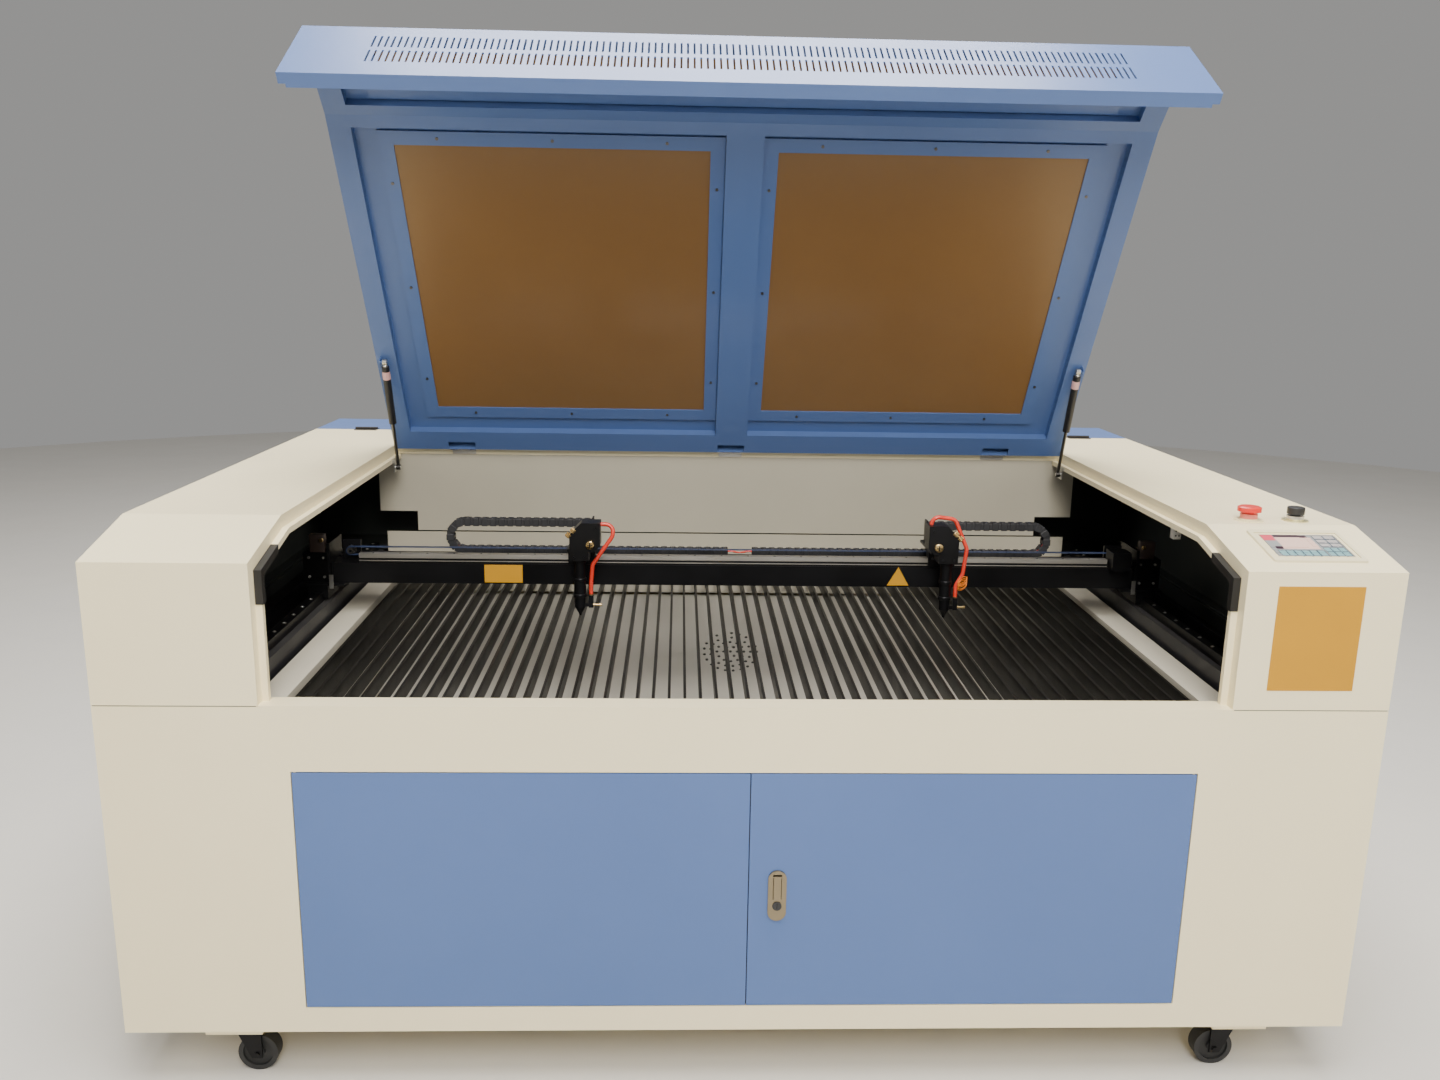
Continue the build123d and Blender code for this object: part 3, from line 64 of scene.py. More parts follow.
cameraStand = {
    "place": (-0.1334, -2.789, 1.513),
    "pitch": 0.223,
    "yaw": 0.036,
    "roll": 0.017,
    "focalPixels": 1191.0,
    "imageWide": 1440.0,
    "sensor": 36.0,
}


def makeCamera(v):
    # forward, right and up from yaw, pitch and roll, then a matrix with right, up and backward as columns
    forward = Vector((math.sin(v["yaw"]) * math.cos(v["pitch"]),
                      math.cos(v["yaw"]) * math.cos(v["pitch"]), -math.sin(v["pitch"])))
    flat = Vector((math.cos(v["yaw"]), -math.sin(v["yaw"]), 0))
    rise = flat.cross(forward)
    right = math.cos(v["roll"]) * flat + math.sin(v["roll"]) * rise
    up = math.cos(v["roll"]) * rise - math.sin(v["roll"]) * flat
    data = bpy.data.cameras.new("standCamera")
    data.sensor_width = v["sensor"]
    data.lens = v["focalPixels"] / v["imageWide"] * v["sensor"]
    data.clip_end = 60
    camera = bpy.data.objects.new("standCamera", data)
    turn = Matrix((right, up, -forward)).transposed().to_4x4()
    camera.matrix_world = Matrix.Translation(v["place"]) @ turn
    bpy.context.scene.collection.objects.link(camera)
    bpy.context.scene.camera = camera


makeCamera(cameraStand)


# Light: soft daylight from above and from behind the camera

studioLight = {
    "sky": (0.98, 0.97, 0.95),
    "skyStrength": 0.32,
    "floor": (0.62, 0.60, 0.56),
    "floorDisc": (9.0, -0.0202, -0.0002),  # radius, bottom and top
    "lamps": (
        # name, place, aim, width, height, watts, colour
        ("overheadLamp", (0.1, -1.9, 4.9), (0.0, -0.1, 0.7), 2.2, 2.2, 250.0, (1.0, 0.97, 0.92)),
        ("keyLamp", (0.25, -4.3, 3.7), (0.0, 0.0, 0.6), 1.5, 2.4, 225.0, (1.0, 0.97, 0.92)),
        ("rightLamp", (4.2, -2.6, 3.0), (0.0, 0.0, 0.8), 2.4, 2.4, 60.0, (1.0, 0.97, 0.92)),
        ("leftLamp", (-4.4, -2.0, 3.0), (0.0, 0.0, 0.8), 2.4, 2.4, 36.0, (1.0, 0.98, 0.95)),
        ("rearLamp", (0.0, 2.3, 5.4), (0.0, -0.2, 1.6), 3.6, 3.6, 400.0, (1.0, 0.98, 0.95)),
    ),
}


def makeStudio(v):
    world = bpy.data.worlds.new("paleRoom")
    bpy.context.scene.world = world
    world.use_nodes = True
    background = world.node_tree.nodes["Background"]
    background.inputs["Color"].default_value = (*v["sky"], 1)
    background.inputs["Strength"].default_value = v["skyStrength"]
    for name, place, aim, wide, tall, watts, colour in v["lamps"]:
        data = bpy.data.lights.new(name, "AREA")
        data.shape = "RECTANGLE"
        data.size = wide
        data.size_y = tall
        data.energy = watts
        data.color = colour
        lamp = bpy.data.objects.new(name, data)
        lamp.location = place
        lamp.rotation_euler = (Vector(aim) - Vector(place)).to_track_quat("-Z", "Y").to_euler()
        bpy.context.scene.collection.objects.link(lamp)


makeStudio(studioLight)
print("camera and light")


# Shader groups that several finishes share

def newGroup(name, inputs, outputs):
    # an input with a number is a value and any other one a vector; every output is a value
    group = bpy.data.node_groups.new(name, "ShaderNodeTree")
    for label, value in inputs.items():
        kind = "NodeSocketFloat" if isinstance(value, float) else "NodeSocketVector"
        socket = group.interface.new_socket(name=label, in_out="INPUT", socket_type=kind)
        if value is not None:
            socket.default_value = value
    for label in outputs:
        group.interface.new_socket(name=label, in_out="OUTPUT", socket_type="NodeSocketFloat")
    start, end = group.nodes.new("NodeGroupInput"), group.nodes.new("NodeGroupOutput")
    start.location, end.location = (-400, 0), (2400, 0)
    return group, start.outputs, end.inputs


def addNode(tree, kind, inputs=None, **settings):
    # a node right of the ones before it; an input takes a socket to link or a value, a colour three numbers
    node = tree.nodes.new(kind)
    node.location = (len(tree.nodes) * 180 - 600, -320)
    for key, value in settings.items():
        setattr(node, key, value)
    for label, value in (inputs or {}).items():
        socket = node.inputs[label]
        if isinstance(value, bpy.types.NodeSocket):
            tree.links.new(value, socket)
        else:
            socket.default_value = (*value, 1) if socket.type == "RGBA" else value
    return node


def addMath(tree, operation, *values):
    # a math node on sockets or numbers
    return addNode(tree, "ShaderNodeMath", dict(enumerate(values)), operation=operation).outputs[0]


def product(tree, *values):
    # the product of sockets or numbers, which for masks is where all of them hold
    result = values[0]
    for value in values[1:]:
        result = addMath(tree, "MULTIPLY", result, value)
    return result


def addNoise(tree, vector, scale, detail, roughness=0.5):
    values = {"Vector": vector, "Scale": scale, "Detail": detail, "Roughness": roughness}
    return addNode(tree, "ShaderNodeTexNoise", values).outputs["Fac"]


def splitVector(tree, vector):
    return tuple(addNode(tree, "ShaderNodeSeparateXYZ", {0: vector}).outputs)


def makeOrangePeel():
    # two sizes of smooth noise: the fine one is the skin of sprayed powder, the wide one its uneven tone
    inputs = {"Vector": None, "Grain": 900.0, "Cloud": 3.0}
    group, start, end = newGroup("orangePeel", inputs, ("Height", "Tone"))
    group.links.new(addNoise(group, start["Vector"], start["Grain"], detail=2.0), end["Height"])
    group.links.new(addNoise(group, start["Vector"], start["Cloud"], detail=4.0, roughness=0.6), end["Tone"])
    return group


def makeBrushedGrain():
    # noise squeezed across one direction, so that it reads as long fine scratches
    inputs = {"Vector": None, "Stretch": (4.0, 900.0, 900.0)}
    group, start, end = newGroup("brushedGrain", inputs, ("Height", "Tone"))
    squeezed = addNode(group, "ShaderNodeVectorMath", {0: start["Vector"], 1: start["Stretch"]},
                       operation="MULTIPLY").outputs[0]
    group.links.new(addNoise(group, squeezed, scale=1.0, detail=3.0), end["Height"])
    group.links.new(addNoise(group, start["Vector"], scale=5.0, detail=5.0), end["Tone"])
    return group


def makeDustFilm():
    # faces that look up gather a thin patchy film: the upward share of the normal times a soft noise
    group, start, end = newGroup("dustFilm", {"Vector": None, "Normal": None, "Amount": 0.2}, ("Mask",))
    upward = addMath(group, "MAXIMUM", splitVector(group, start["Normal"])[2], 0.0)
    patches = addNoise(group, start["Vector"], scale=9.0, detail=8.0, roughness=0.7)
    group.links.new(product(group, upward, patches, start["Amount"]), end["Mask"])
    return group


def makeInsideBox():
    # one inside a box of object space and nought outside it, for keys and painted patches
    group, start, end = newGroup("insideBox", {"Vector": None, "Low": None, "High": None}, ("Mask",))
    mask = 1.0
    for at, low, high in zip(*(splitVector(group, start[label]) for label in ("Vector", "Low", "High"))):
        above, below = addMath(group, "GREATER_THAN", at, low), addMath(group, "LESS_THAN", at, high)
        mask = product(group, mask, above, below)
    group.links.new(mask, end["Mask"])
    return group


orangePeel = makeOrangePeel()
brushedGrain = makeBrushedGrain()
dustFilm = makeDustFilm()
insideBox = makeInsideBox()


# Finishes

def newFinish(name, **sockets):
    # a material, the sockets of its Principled shader with their fixed numbers, and the object's own space
    material = bpy.data.materials.new(name)
    material.use_nodes = True
    tree = material.node_tree
    shader = tree.nodes["Principled BSDF"].inputs
    for label, value in sockets.items():
        shader[label].default_value = value
    return material, tree, shader, addNode(tree, "ShaderNodeTexCoord").outputs["Object"]


def useGroup(tree, group, **values):
    return addNode(tree, "ShaderNodeGroup", values, node_tree=group).outputs


def blendColours(tree, mask, a, b):
    # colour a where the mask is nought and b where it is one
    return addNode(tree, "ShaderNodeMix", {"Factor": mask, "A": a, "B": b}, data_type="RGBA").outputs["Result"]


def dim(colour, share):
    return tuple(c * share for c in colour)


def addBump(tree, shader, height, strength, distance):
    bump = addNode(tree, "ShaderNodeBump", {"Strength": strength, "Distance": distance, "Height": height})
    tree.links.new(bump.outputs["Normal"], shader["Normal"])


def spreadValue(tree, mask, low, high):
    # the mask's middle range spread between two values
    values = {"Value": mask, "From Min": 0.3, "From Max": 0.7, "To Min": low, "To Max": high}
    return addNode(tree, "ShaderNodeMapRange", values).outputs["Result"]


def cloudedFinish(name, group, light, dark, rough, bump, values, cover=None, **sockets):
    # the group's Tone clouds colour and roughness, and its Height dents the surface by a strength and distance
    # cover, if there is one, takes the colour so far and gives it back with something laid over it
    material, tree, shader, place = newFinish(name, **sockets)
    grain = useGroup(tree, group, Vector=place, **values)
    colour = blendColours(tree, spreadValue(tree, grain["Tone"], 0.0, 1.0), dark, light)
    if cover:
        colour = cover(tree, shader, place, colour)
    tree.links.new(colour, shader["Base Color"])
    tree.links.new(spreadValue(tree, grain["Tone"], *rough), shader["Roughness"])
    addBump(tree, shader, grain["Height"], *bump)
    return material


def powderCoat(name, light, dark, rough=(0.34, 0.44), dust=0.12, grain=1100.0, peel=0.10,
               film=(0.50, 0.47, 0.41), inner=None):
    # sprayed powder: a slow change between two tones, a fine skin and a little dust on top
    # inner, if there is one, gives a mask and the colour of the surfaces inside it
    def cover(tree, shader, place, paint):
        normal = addNode(tree, "ShaderNodeNewGeometry").outputs["Normal"]
        settled = useGroup(tree, dustFilm, Vector=place, Normal=normal, Amount=dust)["Mask"]
        paint = blendColours(tree, settled, paint, film)
        if inner:
            mask, colour = inner(tree, place)
            paint = blendColours(tree, mask, paint, colour)
        return paint

    return cloudedFinish(name, orangePeel, light, dark, rough[::-1], (peel, 0.0006),
                         {"Grain": grain, "Cloud": 2.4}, cover, **{"Specular IOR Level": 0.45})


def bareMetal(name, light, dark, rough=(0.24, 0.36), stretch=(4.0, 700.0, 700.0), depth=0.12, metallic=1.0):
    # metal with fine scratches along one direction and cloudy smears in its shine
    return cloudedFinish(name, brushedGrain, light, dark, rough, (depth, 0.0003), {"Stretch": stretch},
                         Metallic=metallic)


def mouldedPlastic(name, light, dark, rough=(0.38, 0.52), peel=0.12):
    # moulded or extruded plastic and rubber: fine grain, small change of tone
    return cloudedFinish(name, orangePeel, light, dark, rough, (peel, 0.0004),
                         {"Grain": 1800.0, "Cloud": 14.0})


def clearSheet(name, tones, cloud, **sockets):
    # tinted or clear sheet and glass, with faint long swirls between two tints
    material, tree, shader, place = newFinish(name, **sockets)
    swirl = useGroup(tree, orangePeel, Vector=place, Cloud=cloud)["Tone"]
    tree.links.new(blendColours(tree, swirl, *tones), shader["Base Color"])
    return material


def bandedFinish(name, v, **sockets):
    # v["base"] is the tone, and every other entry of v a painted box: low corner, high corner, colour or None
    # for the same tone, and how far it is metal
    def cover(tree, shader, place, colour):
        metal = 0.0
        for low, high, patch, shine in (v[key] for key in v if key != "base"):
            mask = useGroup(tree, insideBox, Vector=place, Low=low, High=high)["Mask"]
            colour = blendColours(tree, mask, colour, patch or v["base"])
            metal = addMath(tree, "MAXIMUM", metal, product(tree, mask, shine))
        tree.links.new(metal, shader["Metallic"])
        return colour

    return cloudedFinish(name, orangePeel, dim(v["base"], 0.9), v["base"], (0.30, 0.42), (0.08, 0.0005),
                         {"Grain": 1300.0, "Cloud": 6.0}, cover, **sockets)


ledgePaint = powderCoat("ledgePaint", (0.56, 0.52, 0.42), (0.50, 0.465, 0.375), rough=(0.38, 0.5))
blueTone = (0.082, 0.148, 0.35)
bluePaint = powderCoat("bluePaint", blueTone, (0.077, 0.139, 0.333), rough=(0.28, 0.38), dust=0.05)
greyPaint = powderCoat("greyPaint", (0.50, 0.46, 0.36), (0.46, 0.425, 0.33), rough=(0.40, 0.5))
darkPaint = powderCoat("darkPaint", (0.026, 0.026, 0.030), (0.016, 0.016, 0.019), rough=(0.35, 0.5))
blackMetal = bareMetal("blackMetal", (0.020, 0.020, 0.022), (0.011, 0.011, 0.012), rough=(0.30, 0.44),
                       metallic=0.8)
hopperSteel = bareMetal("hopperSteel", (0.58, 0.55, 0.475), (0.48, 0.455, 0.39), rough=(0.45, 0.6),
                        stretch=(500.0, 5.0, 500.0), depth=0.2, metallic=0.25)
zincSteel = bareMetal("zincSteel", (0.62, 0.61, 0.58), (0.48, 0.47, 0.45), rough=(0.24, 0.40),
                      stretch=(300.0, 300.0, 300.0))
brassMetal = bareMetal("brassMetal", (0.78, 0.57, 0.27), (0.58, 0.40, 0.17), rough=(0.22, 0.36),
                       stretch=(200.0, 200.0, 200.0))
darkSteel = bareMetal("darkSteel", (0.17, 0.165, 0.155), (0.11, 0.105, 0.10), rough=(0.26, 0.38))
lockSteel = bareMetal("lockSteel", (0.34, 0.28, 0.185), (0.26, 0.215, 0.14), rough=(0.30, 0.42),
                      stretch=(600.0, 600.0, 5.0), depth=0.06)
beltRubber = mouldedPlastic("beltRubber", (0.022, 0.036, 0.085), (0.014, 0.024, 0.06), rough=(0.35, 0.5))
blackPlastic = mouldedPlastic("blackPlastic", (0.022, 0.022, 0.024), (0.014, 0.014, 0.015))
blackRubber = mouldedPlastic("blackRubber", (0.026, 0.026, 0.026), (0.016, 0.016, 0.016), rough=(0.6, 0.75))
trimRubber = mouldedPlastic("trimRubber", (0.012, 0.011, 0.010), (0.008, 0.007, 0.006), rough=(0.5, 0.6))
redPlastic = mouldedPlastic("redPlastic", (0.74, 0.035, 0.025), (0.62, 0.026, 0.02), rough=(0.22, 0.34))
redHose = mouldedPlastic("redHose", (0.72, 0.055, 0.03), (0.58, 0.035, 0.02), rough=(0.2, 0.32))
orangeWire = mouldedPlastic("orangeWire", (0.80, 0.22, 0.02), (0.66, 0.17, 0.015), rough=(0.3, 0.4))
yellowPlate = mouldedPlastic("yellowPlate", (0.52, 0.25, 0.0006), (0.49, 0.235, 0.0006), rough=(0.6, 0.7),
                             peel=0.03)
pinkBand = mouldedPlastic("pinkBand", (0.70, 0.42, 0.40), (0.60, 0.34, 0.33), rough=(0.3, 0.4))
amberPane = clearSheet("amberAcrylic", ((0.170, 0.088, 0.030), (0.225, 0.121, 0.044)), 2.2,
                       Roughness=0.28, IOR=1.49, **{"Transmission Weight": 0.05})
clearGlass = clearSheet("tubeGlass", ((0.86, 0.93, 0.94), (0.93, 0.97, 0.98)), 6.0,
                        Roughness=0.04, IOR=1.47, **{"Transmission Weight": 0.92})
print("finishes ready")


# Shapes: each is an array of points and an array of quads, and a piece joins a list of them

def ringQuads(rings, count):
    # the quads between neighbouring rings of points, each ring closed
    i, j = np.meshgrid(np.arange(rings - 1), np.arange(count), indexing="ij")
    after = (j + 1) % count
    corners = (i * count + j, i * count + after, (i + 1) * count + after, (i + 1) * count + j)
    return np.stack(corners, -1).reshape(-1, 4)


def unit(vectors):
    # one vector, or rows of them, at length one
    vectors = np.asarray(vectors, float)
    return vectors / np.linalg.norm(vectors, axis=-1, keepdims=True)


def axisFrame(direction):
    # two directions across an axis, right-handed with it
    axis = unit(direction)
    first = unit(np.cross((0.0, 0.0, 1.0) if abs(axis[2]) < 0.9 else (1.0, 0.0, 0.0), axis))
    return first, np.cross(axis, first), axis


def turnedShape(profile, centre, direction=(0, 0, 1), count=24):
    # a profile of radius and height turned about an axis: centre + r (cos t a + sin t b) + h axis
    first, second, axis = axisFrame(direction)
    radius, height = np.asarray(profile, float).T
    turn = np.arange(count) / count * 2 * np.pi
    ring = np.cos(turn)[:, None] * first + np.sin(turn)[:, None] * second
    points = radius[:, None, None] * ring + height[:, None, None] * axis + np.asarray(centre, float)
    return points.reshape(-1, 3), ringQuads(len(radius), count)


def knurledShape(profile, centre, direction, teeth, depth):
    # as turnedShape, with the radius drawn in by depth on every other step round it where it is widest
    points, quads = turnedShape(profile, centre, direction, teeth * 2)
    radius, height = np.asarray(profile, float).T
    core = np.asarray(centre, float) + height[:, None, None] * axisFrame(direction)[2]
    inward = (radius > radius.max() * 0.97)[:, None] & (np.arange(teeth * 2) % 2 == 0)
    shrink = np.where(inward, 1 - depth / radius.max(), 1.0)[..., None]
    grid = core + (points.reshape(len(radius), teeth * 2, 3) - core) * shrink
    return grid.reshape(-1, 3), quads


def blockShape(low, high, radius, steps):
    # rounded-rectangle rings stacked along Z: each reaches out by r sin t at r (1 - cos t) from its end
    low, high = np.minimum(low, high).astype(float), np.maximum(low, high).astype(float)
    size, middle = high - low, (low + high) / 2
    bend = min(radius, size.min() * 0.49)
    t = np.linspace(0, np.pi / 2, steps + 1)
    turn = np.concatenate([t + k * np.pi / 2 for k in range(4)])
    corner = np.repeat([[1, 1], [-1, 1], [-1, -1], [1, -1]], steps + 1, axis=0) * (size[:2] / 2 - bend)
    around = np.stack([np.cos(turn), np.sin(turn)], -1) * bend
    reach = np.concatenate([[0.0], np.sin(t), np.cos(t), [0.0]])
    rise, fall = low[2] + bend * (1 - np.cos(t)), high[2] - bend * (1 - np.sin(t))
    height = np.concatenate([low[2:], rise, fall, high[2:]])
    spread = np.pad(np.ones(len(reach) - 2), 1)
    flat = corner * spread[:, None, None] + around * reach[:, None, None] + middle[:2]
    points = np.concatenate([flat, np.broadcast_to(height[:, None, None], (len(reach), len(turn), 1))], -1)
    return points.reshape(-1, 3), ringQuads(len(reach), len(turn))


def tubeShape(path, radius, count):
    # a circle carried along a path, with both ends closed in their middles
    path = np.asarray(path, float)
    tangent = unit(np.gradient(path, axis=0))
    hint = (0.0, 1.0, 0.0) if np.abs(tangent[:, 1]).max() < 0.9 else (0.3, 0.1, 0.95)
    side = unit(np.cross(hint, tangent))
    other = np.cross(tangent, side)
    turn = np.arange(count) / count * 2 * np.pi
    reach = np.pad(np.full(len(path), radius), 1)
    path, side, other = (np.pad(rows, ((1, 1), (0, 0)), mode="edge")[:, None] for rows in (path, side, other))
    circle = np.cos(turn)[:, None] * side + np.sin(turn)[:, None] * other
    return (path + reach[:, None, None] * circle).reshape(-1, 3), ringQuads(len(reach), count)


def smoothPath(points, steps):
    # a cubic B-spline through the first and last point: each stretch blends four neighbours
    points = np.asarray(points, float)
    knots = np.concatenate([points[:1], points[:1], points, points[-1:], points[-1:]])
    t = np.linspace(0, 1, steps, endpoint=False)
    weights = np.stack([(1 - t) ** 3, 3 * t ** 3 - 6 * t ** 2 + 4,
                        -3 * t ** 3 + 3 * t ** 2 + 3 * t + 1, t ** 3], -1) / 6
    spans = np.stack([knots[k:len(knots) - 3 + k] for k in range(4)], 1)
    curve = np.einsum("tk,skd->std", weights, spans).reshape(-1, 3)
    return np.concatenate([curve, points[-1:]])


def roundedPath(points, radius, step):
    # a polyline whose corners are arcs, c - n r cos t + u r sin t, then points evenly spaced by its length
    points = np.asarray(points, float)
    runs = unit(np.diff(points, axis=0))
    pieces = [points[:1]]
    for corner, before, after in zip(points[1:-1], runs[:-1], runs[1:]):
        turn = math.acos(float(np.clip(before @ after, -1, 1)))
        normal = unit(after - before * (before @ after))
        middle = corner - before * radius * math.tan(turn / 2) + normal * radius
        t = np.linspace(0, turn, 9)[:, None]
        pieces.append(middle - normal * radius * np.cos(t) + before * radius * np.sin(t))
    line = np.concatenate(pieces + [points[-1:]])
    length = np.concatenate([[0.0], np.cumsum(np.linalg.norm(np.diff(line, axis=0), axis=1))])
    at = np.linspace(0, length[-1], int(length[-1] / step) + 2)
    return np.stack([np.interp(at, length, line[:, axis]) for axis in range(3)], -1)


def placeCopies(shape, turns, places):
    # one shape repeated: copy n is turn n applied to the points, then moved to place n
    points, quads = shape
    turns, places = np.asarray(turns, float), np.asarray(places, float)
    many = np.einsum("nij,vj->nvi", turns, points) + places[:, None]
    steps = np.arange(len(places)) * len(points)
    return many.reshape(-1, 3), (quads[None] + steps[:, None, None]).reshape(-1, 4)


def joinShapes(shapes):
    # points laid end to end, with each shape's quads counted on from the points before it
    starts = np.cumsum([0] + [len(points) for points, quads in shapes[:-1]])
    return (np.concatenate([points for points, quads in shapes]),
            np.concatenate([quads + start for (points, quads), start in zip(shapes, starts)]))


def makePiece(name, dressed, body=None):
    # pairs of shapes and their finish become one mesh, with poles merged, smooth but for edges over 35 degrees
    joined = [joinShapes(shapes) for shapes, finish in dressed]
    points, quads = joinShapes(joined)
    mesh = bpy.data.meshes.new(name)
    mesh.from_pydata(points.tolist(), [], quads.tolist())
    for shapes, finish in dressed:
        mesh.materials.append(finish)
    numbers = np.repeat(np.arange(len(dressed)), [len(quads) for points, quads in joined])
    mesh.polygons.foreach_set("material_index", numbers.astype(np.int32))
    cleaner = bmesh.new()
    cleaner.from_mesh(mesh)
    bmesh.ops.remove_doubles(cleaner, verts=cleaner.verts, dist=1e-6)
    bmesh.ops.dissolve_degenerate(cleaner, edges=cleaner.edges, dist=1e-7)
    cleaner.to_mesh(mesh)
    cleaner.free()
    mesh.shade_smooth()
    mesh.set_sharp_from_angle(angle=math.radians(35.0))
    piece = bpy.data.objects.new(name, mesh)
    bpy.context.scene.collection.objects.link(piece)
    if body:
        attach(piece, body)
    return piece


def screwProfile(radius, height):
    # a pan head: a short wall, a sloping shoulder and a dished drive in the middle
    return ((0, 0), (radius, 0), (radius, height * 0.45), (radius * 0.8, height * 0.9), (radius * 0.5, height),
            (radius * 0.42, height), (radius * 0.36, height * 0.55), (0, height * 0.5))


def boltProfile(radius, height):
    # a socket cap: straight wall, small chamfer and a round socket
    return ((0, 0), (radius, 0), (radius, height * 0.88), (radius * 0.88, height), (radius * 0.52, height),
            (radius * 0.5, height * 0.4), (0, height * 0.4))


def discProfile(radius, low, high):
    return (0, low), (radius, low), (radius, high), (0, high)


def knobProfile(radius, length):
    # a thin neck, a knurled barrel with a groove round it and a bevelled end
    neck, groove = radius * 0.45, radius * 0.86
    return ((0, 0), (neck, 0), (neck, length * 0.18), (radius, length * 0.18), (radius, length * 0.42),
            (groove, length * 0.46), (groove, length * 0.52), (radius, length * 0.56), (radius, length * 0.92),
            (radius * 0.84, length), (0, length))


def turnedRow(profile, places, direction=(0, -1, 0), count=12):
    # the same turned shape at each place, all facing one way
    shape = turnedShape(profile, (0, 0, 0), direction, count)
    return placeCopies(shape, np.broadcast_to(np.eye(3), (len(places), 3, 3)), places)


# Finishes on the solids, by the parts' own names

keypadLook = {
    "bezel": (0.78, 0.70, 0.46),
    "outline": (0.05, 0.05, 0.06),
    "ground": (0.26, 0.27, 0.27),
    "keyFace": (0.20, 0.36, 0.38),
    "keyLine": (0.03, 0.06, 0.09),
    "greyFace": (0.40, 0.37, 0.36),
    "redKey": (0.62, 0.07, 0.11),
    "visor": (0.045, 0.022, 0.035),
    "screen": (0.72, 0.50, 0.42),
    "screenShine": 0.24,
    "keyGap": 1.3,
}

# zones on the panel's top, from its middle: right and uphill, low corner then high corner, in millimetres
keypadZones = {
    "outline": ((-70, -43), (71, 44)),
    "ground": ((-69, -42), (69.5, 43)),
    "keysRight": ((27, -41), (68, -7)),
    "keysAbove": ((27, -5), (68, 41)),
    "keysBelow": ((-62, -41), (25, -19)),
    "redKey": ((-69, 19), (-47, 43)),
    "visor": ((-46, 32), (17, 42)),
    "screen": ((-46, -13), (22, 32)),
    "shade": ((-60, -14), (-40, -4)),
}

# a key's middle and half its pitch, right and uphill, in millimetres
keyGrids = {
    "keysRight": ((33.5, -32.5), (6.8, 8.5)),
    "keysAbove": ((37.0, 3.0), (10.2, 7.7)),
    "keysBelow": ((-54.7, -30.0), (7.2, 11.0)),
}


def makeKeypad(v, zones, grids):
    # membrane panel: pale screen in a dark frame, a grid of keys right of it and below, one red corner key
    material, tree, shader, place = newFinish("keypadSheet")
    low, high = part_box("control_panel")
    lean = math.atan(houseLook["rise"])
    middle = ((low.x + high.x) / 2, (low.y + high.y) / 2, (low.z + high.z) / 2)
    away = addNode(tree, "ShaderNodeVectorMath", {0: place, 1: middle}, operation="SUBTRACT").outputs[0]
    # millimetres to the right and uphill
    axes = ((1000.0, 0.0, 0.0), (0.0, 1000 * math.cos(lean), 1000 * math.sin(lean)))
    flat = [addNode(tree, "ShaderNodeVectorMath", {0: away, 1: axis}, operation="DOT_PRODUCT").outputs["Value"]
            for axis in axes]
    sheet = addNode(tree, "ShaderNodeCombineXYZ", {0: flat[0], 1: flat[1]}).outputs[0]

    def zone(name):
        (x0, y0), (x1, y1) = zones[name]
        return useGroup(tree, insideBox, Vector=sheet, Low=(x0, y0, -1), High=(x1, y1, 1))["Mask"]

    def keyGrid(name):
        # one where both distances to the nearest key's middle are under half a key
        cells = zone(name)
        for value, shift, half in zip(flat, *grids[name]):
            off = addMath(tree, "PINGPONG", addMath(tree, "SUBTRACT", value, shift), half)
            cells = product(tree, cells, addMath(tree, "LESS_THAN", off, half - v["keyGap"]))
        return cells

    cloud = useGroup(tree, orangePeel, Vector=place, Grain=2200.0, Cloud=14.0)
    colour = blendColours(tree, cloud["Tone"], v["bezel"], dim(v["bezel"], 0.95))
    for name in ("outline", "ground"):
        colour = blendColours(tree, zone(name), colour, v[name])
    for name in grids:
        colour = blendColours(tree, zone(name), colour, v["keyLine"])
    keys = addMath(tree, "MAXIMUM", keyGrid("keysRight"), keyGrid("keysBelow"))
    colour = blendColours(tree, keys, colour, v["keyFace"])
    colour = blendColours(tree, keyGrid("keysAbove"), colour, v["greyFace"])
    for name, tone in (("redKey", "redKey"), ("visor", "visor"), ("shade", "visor"), ("screen", "screen")):
        colour = blendColours(tree, zone(name), colour, v[tone])
    tree.links.new(colour, shader["Base Color"])
    shine = product(tree, zone("screen"), v["screenShine"])
    rough = addMath(tree, "SUBTRACT", spreadValue(tree, cloud["Tone"], 0.36, 0.46), shine)
    tree.links.new(rough, shader["Roughness"])
    addBump(tree, shader, cloud["Height"], 0.08, 0.0004)
    return material


houseLook = {
    "light": (0.90, 0.795, 0.52),
    "dark": (0.87, 0.768, 0.50),
    "film": (0.52, 0.475, 0.35),
    # painted shade for the faces inside the housings' and the cabinet's sheet
    "black": (0.055, 0.060, 0.056),
    "shoulder": 1.014,  # height of the sloping top's front edge
    "rise": 0.046 / 0.185,
    "rim": 0.8672,  # beside the work area
    "lip": 0.2962,  # behind it
    "lipDeep": 0.026,
    "deckSheet": 0.004,
    "floor": 0.5,
    "skin": 0.0014,
}


